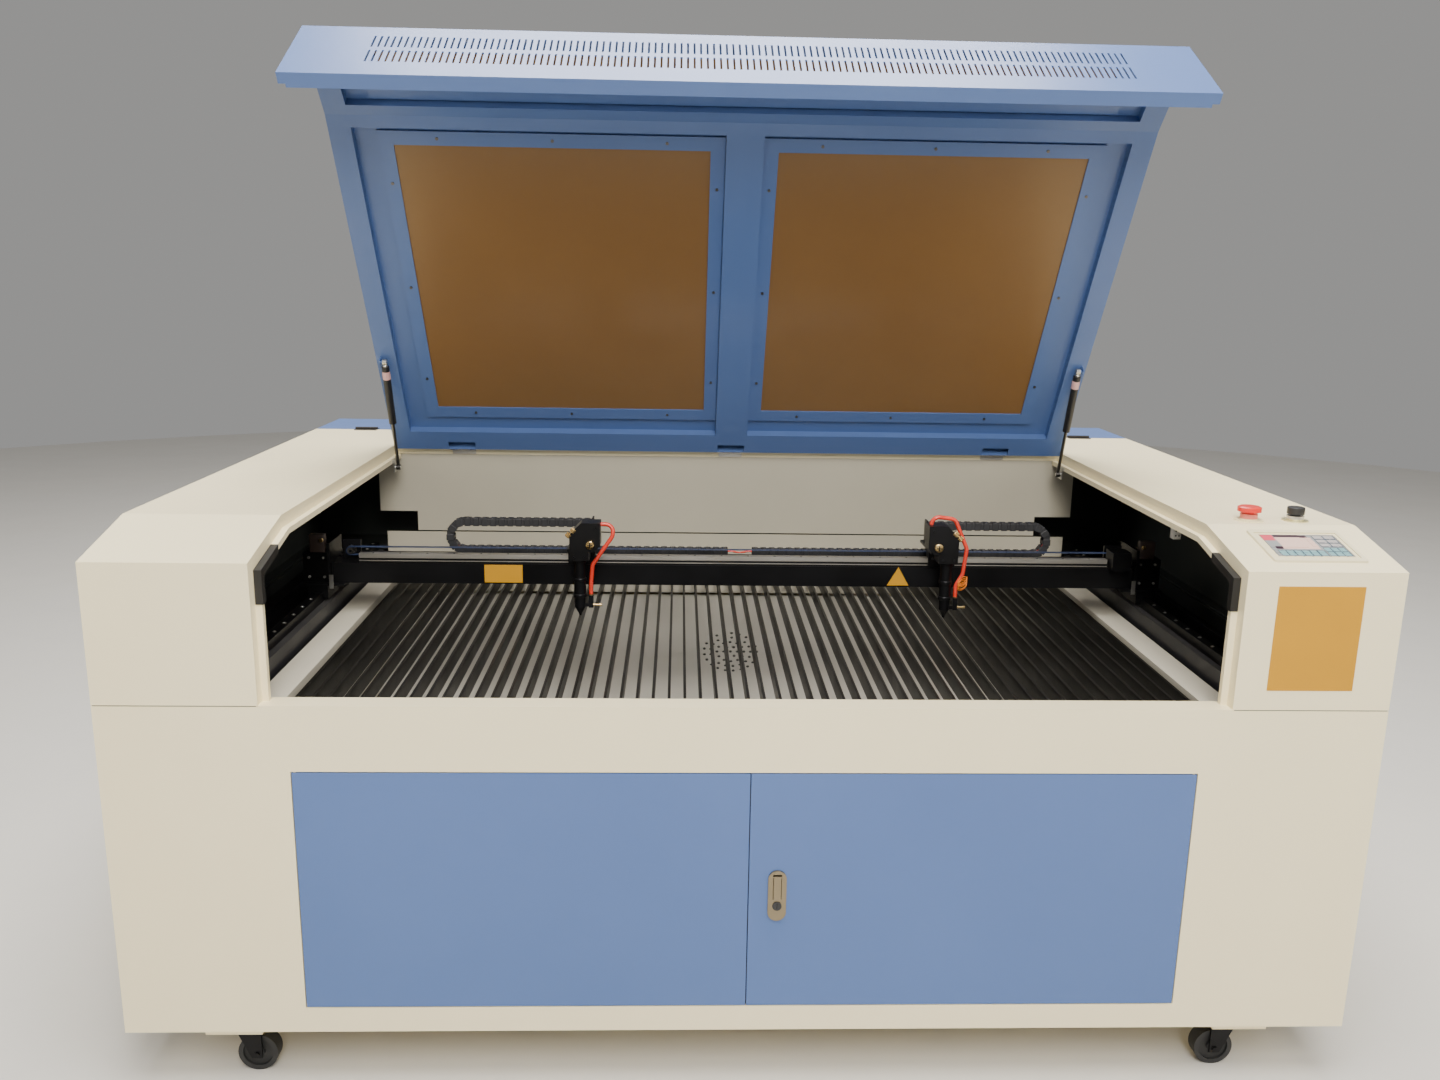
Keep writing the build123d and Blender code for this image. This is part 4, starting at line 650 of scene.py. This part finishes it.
def housePaint(v, name, lip):
    # the housings' powder outside, and near-black painted shade on the faces inside their sheet
    def inner(tree, place):
        # the painted shade goes inside: lower by more than a sheet than both the flat top and the slope, beyond
        # the rims or the lip
        def over(a, b):
            return addMath(tree, "GREATER_THAN", a, b)

        x, y, z = splitVector(tree, place)
        slope = addMath(tree, "MULTIPLY_ADD", y, v["rise"], v["shoulder"] - frontY * v["rise"])
        roof = addMath(tree, "SUBTRACT", addMath(tree, "MINIMUM", slope, topZ), z)
        sides = product(tree, over(addMath(tree, "ABSOLUTE", x), v["rim"]), over(roof, v["skin"]))
        back = product(tree, over(y, lip), over(roof, v["lipDeep"]), over(z, deckZ + v["deckSheet"]))
        low = (v["skin"] - halfWidth, frontY + v["skin"], v["floor"])
        high = (halfWidth - v["skin"], -frontY - v["skin"], 2.0)
        shadedShell = useGroup(tree, insideBox, Vector=place, Low=low, High=high)["Mask"]
        return product(tree, addMath(tree, "MAXIMUM", sides, back), shadedShell), v["black"]

    return powderCoat(name, v["light"], v["dark"], film=v["film"], inner=inner)


housingPaint = housePaint(houseLook, "housingPaint", houseLook["lip"])
cabinetPaint = housePaint(houseLook, "cabinetPaint", 2.0)  # no lip


def crossBand(low, high, colour, metal, y0=-1, y1=1):
    # a painted box right across the machine between two heights
    return (-2, y0, low), (2, y1, high), colour, metal


# the rear cover's blue, with its hinge leaves dark where they rise over the top
coverLook = {
    "base": blueTone,
    "leaves": crossBand(topZ + 0.0002, topZ + 0.02, (0.05, 0.045, 0.04), 0.6, 0.5, 0.7),
}

# zinc leaves at the lid, dark ones at the rear cover
hingeLook = {
    "base": (0.60, 0.58, 0.54),
    "lidLeaves": crossBand(0.9, 1.2, None, 0.9, 0.2, 0.4),
    "coverLeaves": crossBand(0.9, 1.2, (0.05, 0.045, 0.04), 0.6, 0.5, 0.7),
}

# a red collar at the left button, a steel one at the right button and pale rings under both
collarLook = {
    "base": (0.58, 0.57, 0.55),
    "redCollar": ((0.9, -0.7, topZ), (1.01, -0.5, topZ + 0.03), (0.70, 0.20, 0.16), 0.0),
    "steelCollar": ((1.02, -0.7, topZ), (1.1, -0.5, topZ + 0.03), None, 0.9),
    "paleRings": ((0.9, -0.7, topZ - 0.01), (1.1, -0.5, topZ + 0.0041), (0.80, 0.74, 0.45), 0.0),
}

# a ground steel rail, with painted shade darkening the groove along its side and its foot
railLow, railHigh = (corner.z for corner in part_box("x_guide_rail"))
railTall = railHigh - railLow
railLook = {
    "base": (0.72, 0.69, 0.64),
    "whole": crossBand(0, 2, None, 1.0),
    # painted shade in the groove and along the foot
    "groove": crossBand(railLow + railTall * 0.3, railLow + railTall * 0.48, (0.035, 0.034, 0.034), 0.4),
    "foot": crossBand(railLow, railLow + railTall * 0.2, (0.035, 0.034, 0.034), 0.4),
}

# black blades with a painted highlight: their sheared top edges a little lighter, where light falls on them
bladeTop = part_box("table_slats")[1].z
slatLook = {
    "base": (0.0045, 0.0042, 0.0038),
    # the painted highlight along the blades' top edges
    "edges": crossBand(bladeTop - 0.0006, bladeTop + 0.01, (0.012, 0.011, 0.0095), 0.0),
}

# near-black gas cylinders whose neck and eye above their closed end are bare steel
cylinderLook = {
    "base": (0.013, 0.013, 0.015),
    "neck": crossBand(1.2768, 1.3068, (0.55, 0.54, 0.51), 0.95, 0, 0.2),
}

coverPaint = bandedFinish("coverPaint", coverLook)
hingeSteel = bandedFinish("hingeSteel", hingeLook)
collarMetal = bandedFinish("collarMetal", collarLook)
railFinish = bandedFinish("railGround", railLook)
slatFinish = bandedFinish("slatBlack", slatLook, **{"Specular IOR Level": 0.1})
cylinderBlack = bandedFinish("strutBlack", cylinderLook)
keypadSheet = makeKeypad(keypadLook, keypadZones, keyGrids)

casterPlaces = ("front_left", "front_right", "rear_left", "rear_right")
nodeFinishes = (
    (ledgePaint, ("table_frame",)),
    (cabinetPaint, ("cabinet_body",)),
    (housingPaint, ("left_housing", "right_housing", "rear_housing")),
    (bluePaint, ("front_door_left", "front_door_right", "lid_frame", "window_frames")),
    (coverPaint, ("rear_cover",)),
    (lockSteel, ("door_lock_plate", "door_lock_handle")),
    (darkSteel, ("window_screws", "strut_rod_left", "strut_rod_right", "drive_pulley", "idler_pulley")),
    (cylinderBlack, ("strut_cylinder_left", "strut_cylinder_right")),
    (blackPlastic, ("lock_cylinder", "power_inlet", "push_button", "drag_chain_left", "drag_chain_right")),
    (greyPaint, ("inner_back_panel",)),
    (beltRubber, ("x_belt",)),
    (trimRubber, ("edge_trims",)),
    (blackRubber, ["caster_wheel_" + place for place in casterPlaces]),
    (slatFinish, ("table_slats",)),
    (hopperSteel, ("scrap_hopper",)),
    (darkPaint, ("side_troughs",)),
    (railFinish, ("x_guide_rail",)),
    (blackMetal, ["caster_fork_" + place for place in casterPlaces]),
    (blackMetal, ("y_guide_rails", "gantry_beam", "end_carriages", "belt_brackets", "x_motor",
                  "head_body_left", "head_body_right", "lens_tube_left", "lens_tube_right")),
    (zincSteel, ("lid_hinges_moving", "strut_brackets")),
    (hingeSteel, ("hinges_fixed",)),
    (redHose, ("air_hose_left", "air_hose_right")),
    (amberPane, ("lid_window_left", "lid_window_right", "lid_window_front")),
    (collarMetal, ("button_bases",)),
    (redPlastic, ("estop_mushroom",)),
    (keypadSheet, ("control_panel",)),
    (clearGlass, ("laser_tubes",)),
)

for finish, names in nodeFinishes:
    for name in names:
        for place in nodes[name].material_slots:
            place.material = finish
print("solids dressed")


# Drag chains: links along a lower run, a half-turn and an upper run that ends at the head

chainLook = {
    "wide": 0.024,
    "thick": 0.018,
    "plate": 0.0024,
    "pitch": 0.020,
    "edge": 0.0012,
    "bar": 0.0025,
    "barEdge": 0.0008,
    "hose": 0.0030,
    "hoseShift": 0.0055,
    "far": 10.0,  # so far off that the half-turn lies midway
    "y": -0.098,
    "low": 0.875,
    "high": 0.941,
    "sides": (
        # name, head body, anchor, middle of the half-turn, head end
        ("left", "left_head", -0.018, -0.622, -0.331),
        ("right", "right_head", 0.038, 0.692, 0.445),
    ),
}


def chainLink(v, pitch):
    # wide plates at one end, narrow ones at the other that reach into the next link, and two bars across
    wide, thick, plate = v["wide"] / 2, v["thick"] / 2, v["plate"]
    low = thick * 0.86
    blocks = []
    for side in (-1, 1):
        blocks.append(((-pitch * 0.50, side * wide, -thick),
                       (pitch * 0.22, side * (wide - plate), thick), v["edge"]))
        blocks.append(((-pitch * 0.10, side * (wide - plate * 0.6), -low),
                       (pitch * 0.66, side * (wide - plate * 1.8), low), v["edge"]))
    for level in (-1, 1):
        blocks.append(((-pitch * 0.30, -wide * 0.94, level * thick * 0.98),
                       (pitch * 0.02, wide * 0.94, level * (thick - v["bar"])), v["barEdge"]))
    return joinShapes([blockShape(*block, 1) for block in blocks])


def chainRuns(v, anchor, loop, head):
    # each run's length, how many points draw its hoses, and the points and tangents at shares of it
    radius, middle = (v["high"] - v["low"]) / 2, (v["low"] + v["high"]) / 2
    toward = math.copysign(1.0, loop - anchor)

    def straight(start, end, height):
        def walk(share):
            flat = np.zeros(len(share))
            return (np.stack([start + (end - start) * share, flat + v["y"], flat + height], -1),
                    np.stack([flat + math.copysign(1.0, end - start), flat, flat], -1))
        return abs(end - start), 17, walk

    def halfTurn(share):
        # loop + r sin t along the beam and middle - r cos t upward
        turn, flat = share * np.pi, np.zeros(len(share))
        places = (loop + toward * radius * np.sin(turn), flat + v["y"], middle - radius * np.cos(turn))
        return np.stack(places, -1), np.stack([toward * np.cos(turn), flat, np.sin(turn)], -1)

    return straight(anchor, loop, v["low"]), (math.pi * radius, 25, halfTurn), straight(loop, head, v["high"])


def makeChain(v, side, body, anchor, loop, head):
    # each run lists points where it would stand still and where it would move with the head, though only its
    # label is used; the half-turn lies midway
    y, low, high, far = v["y"], v["low"], v["high"], v["far"]
    moves = (
        ("Lower", (anchor, y, low), (2 * loop - anchor, y, low)),
        ("Bend", (loop, y - far, low), (loop, y + far, low)),
        ("Upper", (2 * loop - head, y, high), (head, y, high)),
    )
    offset = np.array((0.0, v["hoseShift"], 0.0))
    for (label, start, end), (length, steps, walk) in zip(moves, chainRuns(v, anchor, loop, head)):
        count = max(1, round(length / v["pitch"]))
        places, tangents = walk((np.arange(count) + 0.5) / count)
        across = np.tile((0.0, 1.0, 0.0), (count, 1))
        turns = np.stack([tangents, across, np.cross(tangents, across)], -1)
        links = placeCopies(chainLink(v, length / count), turns, places)
        line = walk(np.linspace(0, 1, steps))[0]
        hose = tubeShape(line + offset, v["hose"], 8)
        wire = tubeShape(line - offset, v["hose"], 8)
        piece = makePiece("drag_chain_" + side + label, [([links, wire], blackPlastic), ([hose], redHose)])
        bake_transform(piece)
        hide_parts("drag_chain_" + side)


for side in chainLook["sides"]:
    makeChain(chainLook, *side)
print("chains made")


# Thin red wires that cross the tray between the two chains' anchors

wireLook = {
    "radius": 0.0011,
    "left": -0.020,
    "right": 0.040,
    "level": 0.8755,
    "sag": 0.004,
    "straight": 0.014,
    # depth, lift and sway of each
    "strands": ((-0.1010, 0.0020, -0.002), (-0.0980, -0.0015, 0.002), (-0.0950, 0.0015, -0.001)),
}


def makeWires(v):
    left, right, level = v["left"], v["right"], v["level"]
    shapes = []
    for y, lift, sway in v["strands"]:
        knots = [(left, y, level), (left + v["straight"], y + sway, level + lift),
                 ((left + right) / 2, y - sway, level - v["sag"]),
                 (right - v["straight"], y + sway, level + lift), (right, y, level)]
        shapes.append(tubeShape(smoothPath(knots, 8), v["radius"], 8))
    makePiece("anchor_wires", [(shapes, redHose)], "gantry")


makeWires(wireLook)


# Heads: knurled brass screws and bolts at the mirror block, clamp rings and a brass screw on the lens tube

headLook = {
    # knobs and bolts by radius and length, places by the distance from the nozzle along the beam and the height
    "y": -0.257,
    "knob": (0.0062, 0.0115),
    "corner": (0.018, 0.0015, 0.951),
    "slant": 0.7071,
    "apart": 0.0008,
    "faceKnob": (0.0095, 0.008),
    "face": (0.024, 0.925),
    "cross": (0.0062, 0.0011),
    "bolt": (0.0027, 0.0026),
    "lowBolts": ((0.012, 0.896), (-0.012, 0.896)),
    "sideBolts": ((0.036, 0.962), (0.036, 0.900)),
    "tubeY": -0.235,
    # height and radius of each ring
    "rings": ((0.886, 0.0142), (0.842, 0.013774), (0.806, 0.0142)),
    # profiles of radius and height
    "fitting": ((0, 0), (0.0048, 0), (0.0048, 0.003), (0.0036, 0.0036), (0.0036, 0.006), (0, 0.006)),
    "fittingPlace": (0.024, 0.8055),
    "stem": ((0, 0), (0.0030, 0), (0.0030, 0.004), (0.0019, 0.0045), (0.0019, 0.013), (0.0032, 0.0135),
             (0.0032, 0.018), (0.0024, 0.019), (0, 0.019)),
    "stemPlace": (0.0288, 0.784),
    "heads": (
        # name, head body, lens body, nozzle x, side of the slanted corner
        ("left", "left_head", "left_lens", -0.349, -1),
        ("right", "right_head", "right_lens", 0.463, 1),
    ),
}


def makeHead(v, side, body, lens, x, slantSide):
    y = v["y"]
    # two knurled screws lie end to end along the block's cut corner, half sunk in it
    along = np.array((-slantSide * v["slant"], 0.0, v["slant"]))
    corner = np.array((x + slantSide * v["corner"][0], y + v["corner"][1], v["corner"][2]))
    brass = [knurledShape(knobProfile(*v["knob"]), corner + along * way * v["apart"], along * way, 18, 0.0007)
             for way in (1, -1)]
    # the front screw has a wide knurled head with a dark cross in it
    face = np.array((x - slantSide * v["face"][0], y, v["face"][1]))
    brass.append(knurledShape(knobProfile(*v["faceKnob"]), face, (0, -1, 0), 20, 0.0009))
    end = face - (0.0, v["faceKnob"][1], 0.0)
    black = [blockShape(end - (dx, 0.0003, dz), end + (dx, 0.0002, dz), 0.0002, 1)
             for dx, dz in (v["cross"], v["cross"][::-1])]
    places = [(x + dx, y, z) for dx, z in v["lowBolts"]]
    places += [(x - slantSide * dx, y, z) for dx, z in v["sideBolts"]]
    black.append(turnedRow(boltProfile(*v["bolt"]), places))
    makePiece("head_screws_" + side, [(brass, brassMetal), (black, blackMetal)], body)

    rings = []
    for z, r in v["rings"]:
        edge = r + 0.0008
        profile = ((0, -0.004), (r, -0.004), (edge, -0.003), (edge, 0.003), (r, 0.004), (0, 0.004))
        rings.append(turnedShape(profile, (x, v["tubeY"], z), (0, 0, 1), 32))
    (fittingX, fittingZ), (stemX, stemZ) = v["fittingPlace"], v["stemPlace"]
    fitting = turnedShape(v["fitting"], (x + fittingX, v["tubeY"], fittingZ), (0, 0, 1), 16)
    stem = knurledShape(v["stem"], (x + stemX, v["tubeY"], stemZ), (1, 0, 0), 12, 0.0003)
    makePiece("lens_tube_rings_" + side, [(rings, blackMetal), ([fitting, stem], brassMetal)],
              lens)


# A thin wire wound loosely by the right hose

coilLook = {
    "middle": (0.499, -0.247, 0.842),
    "wide": 0.0095,
    "deep": 0.00665,
    "tall": 0.020,
    "lean": 0.0075,
    "swing": 0.002,
    "turns": 5,
    "points": 121,
    "wire": 0.0008,
}


def makeCoil(v):
    # an oval helix: wide cos t, deep sin t and an even rise, with a swing every other turn and a lean in each
    share = np.linspace(0, 1, v["points"])
    turn = share * v["turns"] * 2 * np.pi
    x, y, z = v["middle"]
    path = np.stack([x + v["wide"] * np.cos(turn),
                     y + v["deep"] * np.sin(turn) + v["swing"] * np.sin(turn * 0.5),
                     z + v["tall"] * (share - 0.5) + v["lean"] * np.sin(turn + 0.8)], -1)
    makePiece("wire_coil", [([tubeShape(path, v["wire"], 6)], orangeWire)], "right_lens")


# Air hoses: each bends from its head down to the lens tube's elbow

hoseLook = {
    "radius": 0.0045,
    "bend": 0.016,
    "y": -0.235,
    "steady": 0.945,
    "loose": 0.855,
    "routes": (
        # name, head body, lens body, nozzle x, and points: right of the nozzle, back from y, and height
        ("left", "left_head", "left_lens", -0.349, (
            (0.046, 0.006, 0.965), (0.074, 0.006, 0.965), (0.0716, 0.0, 0.9394), (0.028, -0.004, 0.876),
            (0.024, 0.0, 0.8316), (0.024, 0.0, 0.806))),
        ("right", "right_head", "right_lens", 0.463, (
            (-0.038, 0.0, 0.973), (-0.038, 0.0, 0.9914), (0.014, 0.0, 0.985), (0.044, 0.0, 0.918),
            (0.038, 0.0, 0.86), (0.024, 0.0, 0.834), (0.024, 0.0, 0.806))),
    ),
}


def makeHose(v, side, body, lens, x, route):
    path = roundedPath(np.array(route) + (x, v["y"], 0.0), v["bend"], 0.0025)
    piece = makePiece("hose_" + side, [([tubeShape(path, v["radius"], 16)], redHose)])
    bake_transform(piece)
    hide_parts("air_hose_" + side)


for side in headLook["heads"]:
    makeHead(headLook, *side)
for side in hoseLook["routes"]:
    makeHose(hoseLook, *side)
makeCoil(coilLook)
print("heads made")


# Gas struts: a pale band round the cylinder near its closed end, and a collar on the neck above it

strutLook = {
    "x": 0.839,
    "foot": (0.203, 1.015),
    "axis": (0.0, -0.32898034, 0.94433677),
    "top": 0.2735,
    "radius": 0.0093,
    "wall": 0.002,
    "bandEnd": 0.012,
    "bandWide": 0.020,
    "collar": ((0.003, 0), (0.0062, 0), (0.0062, 0.0035), (0.005, 0.005), (0.003, 0.005), (0.003, 0)),
    "bodies": (("left", "left_cylinder", -1), ("right", "right_cylinder", 1)),
}


def makeStrutBands(v):
    outer, inner = v["radius"], v["radius"] - v["wall"]
    start, end = -v["bandEnd"] - v["bandWide"], -v["bandEnd"]
    profile = ((inner, start), (outer, start), (outer, end), (inner, end), (inner, start))
    for side, body, sign in v["bodies"]:
        base = np.array((sign * v["x"], *v["foot"])) + np.array(v["axis"]) * v["top"]
        band = turnedShape(profile, base, v["axis"], 28)
        collar = turnedShape(v["collar"], base, v["axis"], 20)
        makePiece("strut_band_" + side, [([band], pinkBand), ([collar], zincSteel)], body)


makeStrutBands(strutLook)

# Ends of the gantry: a mirror mount with its screw on each guard block, bolts and a small steel catch

endLook = {
    "guard": (0.921, 0.955),
    "mountY": (-0.176, -0.158),
    "mountTop": 0.924,
    "screw": (0.0048, 0.006),
    "screwIn": (0.006, 0.012),
    "catch": ((0.899, 0.9085), (0.806, 0.838)),
    "catchSheet": 0.0014,
    "bolt": (0.0032, 0.003),
    "boltY": -0.178,
    "bolts": ((0.924, 0.872), (0.957, 0.872), (0.924, 0.828), (0.957, 0.828)),
    "tint": (0.055, 0.036, 0.030),
}


def makeEnds(v):
    mountPaint = powderCoat("mountPaint", v["tint"], dim(v["tint"], 0.8), rough=(0.4, 0.5))
    (x0, x1), (y0, y1), (a, b), (low, high) = v["guard"], v["mountY"], *v["catch"]
    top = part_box("x_guide_rail")[1].z
    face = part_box("end_carriages")[0].y
    for side, sign in (("left", -1), ("right", 1)):
        block = blockShape((sign * x0, y0, top), (sign * x1, y1, v["mountTop"]), 0.0015, 2)
        place = (sign * (x0 + v["screwIn"][0]), y0, v["mountTop"] - v["screwIn"][1])
        screw = knurledShape(knobProfile(*v["screw"]), place, (0, -1, 0), 14, 0.0005)
        catch = blockShape((sign * a, face, low), (sign * b, face - v["catchSheet"], high), 0.0004, 1)
        bolts = turnedRow(boltProfile(*v["bolt"]), [(sign * x, v["boltY"], z) for x, z in v["bolts"]])
        dressed = [([block], mountPaint), ([screw], brassMetal), ([catch, bolts], zincSteel)]
        makePiece("beam_end_" + side, dressed, "gantry")


makeEnds(endLook)

# Dark strip on the left door's edge, in the gap between the doors: painted shade in the gap

gapShadeLook = {
    "near": 0.0025,
    "far": 0.008,
    "play": 0.0002,
    "short": 0.002,
}


def makeGapShade(v):
    low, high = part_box("front_door_left")
    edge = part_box("front_door_right")[0].x
    shape = blockShape((high.x, frontY + v["near"], low.z + v["short"]),
                       (edge - v["play"], frontY + v["far"], high.z - v["short"]), 0.0003, 1)
    makePiece("door_gap_shade", [([shape], trimRubber)], "left_door")


makeGapShade(gapShadeLook)

# Black disc behind the suction holes of the sloping floor: painted shade seen through the holes

grilleShadeLook = {
    "place": (0.0, 0.0590, 0.5805),
    "upward": (0.0, -0.45303, 0.89150),
    "radius": 0.0750,
    "below": 0.0030,
    "thick": 0.001,
}


def makeGrilleShade(v):
    profile = discProfile(v["radius"], -v["below"] - v["thick"], -v["below"])
    shape = turnedShape(profile, v["place"], v["upward"], 32)
    makePiece("grille_shade", [([shape], blackPlastic)], "machine")


makeGrilleShade(grilleShadeLook)

# Light strip under the back panel, behind a dark joint

footLook = {
    "half": 0.898,
    "back": 0.2995,
    "sheet": 0.0012,
    "low": 0.760,
    "joint": 0.004,
}


def makePanelFoot(v):
    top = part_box("inner_back_panel")[0].z - v["joint"]
    shape = blockShape((-v["half"], v["back"] - v["sheet"], v["low"]), (v["half"], v["back"], top), 0.0004, 1)
    makePiece("panel_foot", [([shape], greyPaint)], "machine")


makePanelFoot(footLook)

# Small white switch block under the right rim, with two columns of dark holes

switchLook = {
    "low": (0.868, -0.468, 0.996),
    "high": (0.884, -0.450, 1.030),
    "hole": (0.0017, 0, 0.0003),
    "columns": (0.3, 0.7),
    "rows": (0.22, 0.5, 0.78),
    "white": (0.62, 0.60, 0.55),
}


def makeSwitch(v):
    white = mouldedPlastic("switchWhite", v["white"], dim(v["white"], 0.92))
    low, high = np.array(v["low"]), np.array(v["high"])
    places = [low + (high - low) * (column, 0, row) for column in v["columns"] for row in v["rows"]]
    holes = turnedRow(discProfile(*v["hole"]), places)
    makePiece("lid_switch", [([blockShape(low, high, 0.001, 2)], white), ([holes], blackPlastic)],
              "machine")


makeSwitch(switchLook)
print("small fittings made")

# Plain yellow plates: one on the right housing's front, an oblong and a triangle on the beam

plateLook = {
    "front": ((0.921, 1.077), (0.795, 0.988)),
    "beam": ((-0.567, -0.482), (0.819, 0.860)),
    "triangle": (0.3665, 0.8337),
    "reach": 0.0285,
    "thick": 0.0008,
}


def makePlates(v):
    def oblong(place, face):
        (x0, x1), (z0, z1) = place
        return blockShape((x0, face, z0), (x1, face - v["thick"], z1), 0.0003, 1)

    makePiece("front_plate", [([oblong(v["front"], frontY)], yellowPlate)], "machine")
    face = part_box("gantry_beam")[0].y
    # three sides turned about the front's direction, then stood with a corner up
    wedge = turnedShape(discProfile(v["reach"], 0, v["thick"]), (0, 0, 0), (0, -1, 0), 3)
    x, z = v["triangle"]
    wedge = placeCopies(wedge, [((0, 0, -1), (0, 1, 0), (1, 0, 0))], [(x, face, z)])
    makePiece("beam_plate", [([oblong(v["beam"], face), wedge], yellowPlate)], "gantry")


makePlates(plateLook)
print("plates made")


# Screws on the Y rails and along the X rail

screwLook = {
    "pitch": 0.06,
    "margins": (0.03, 0.02),
    "screw": (0.0042, 0.0016),
    "inward": 0.010,
    "sunk": 0.0004,
    "xScrew": (0.0026, 0.0006),
    "xSunk": 0.0002,
}


def makeScrews(v):
    first, last = v["margins"]
    low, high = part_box("y_guide_rails")
    x, z = high.x - v["inward"], high.z - v["sunk"]
    places = [(side * x, y, z) for side in (-1, 1) for y in np.arange(low.y + first, high.y - last, v["pitch"])]
    screws = turnedRow(screwProfile(*v["screw"]), places, (0, 0, 1))
    makePiece("rail_screws", [([screws], zincSteel)], "machine")
    low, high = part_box("x_guide_rail")
    y, z = (low.y + high.y) / 2, high.z - v["xSunk"]
    places = [(x, y, z) for x in np.arange(low.x + first, high.x - last, v["pitch"])]
    screws = turnedRow(screwProfile(*v["xScrew"]), places, (0, 0, 1), 10)
    makePiece("x_rail_screws", [([screws], blackMetal)], "gantry")


makeScrews(screwLook)
print("screws made")


# Floor under the machine

def makeFloor(v):
    # a wide disc just under floor level
    shape = turnedShape(discProfile(*v["floorDisc"]), (0, 0, 0), (0, 0, 1), 64)
    material = powderCoat("floorPaint", v["floor"], dim(v["floor"], 0.96), rough=(0.55, 0.7),
                          dust=0.0, grain=60.0, peel=0.03)
    makePiece("paleFloor", [([shape], material)])


makeFloor(studioLight)
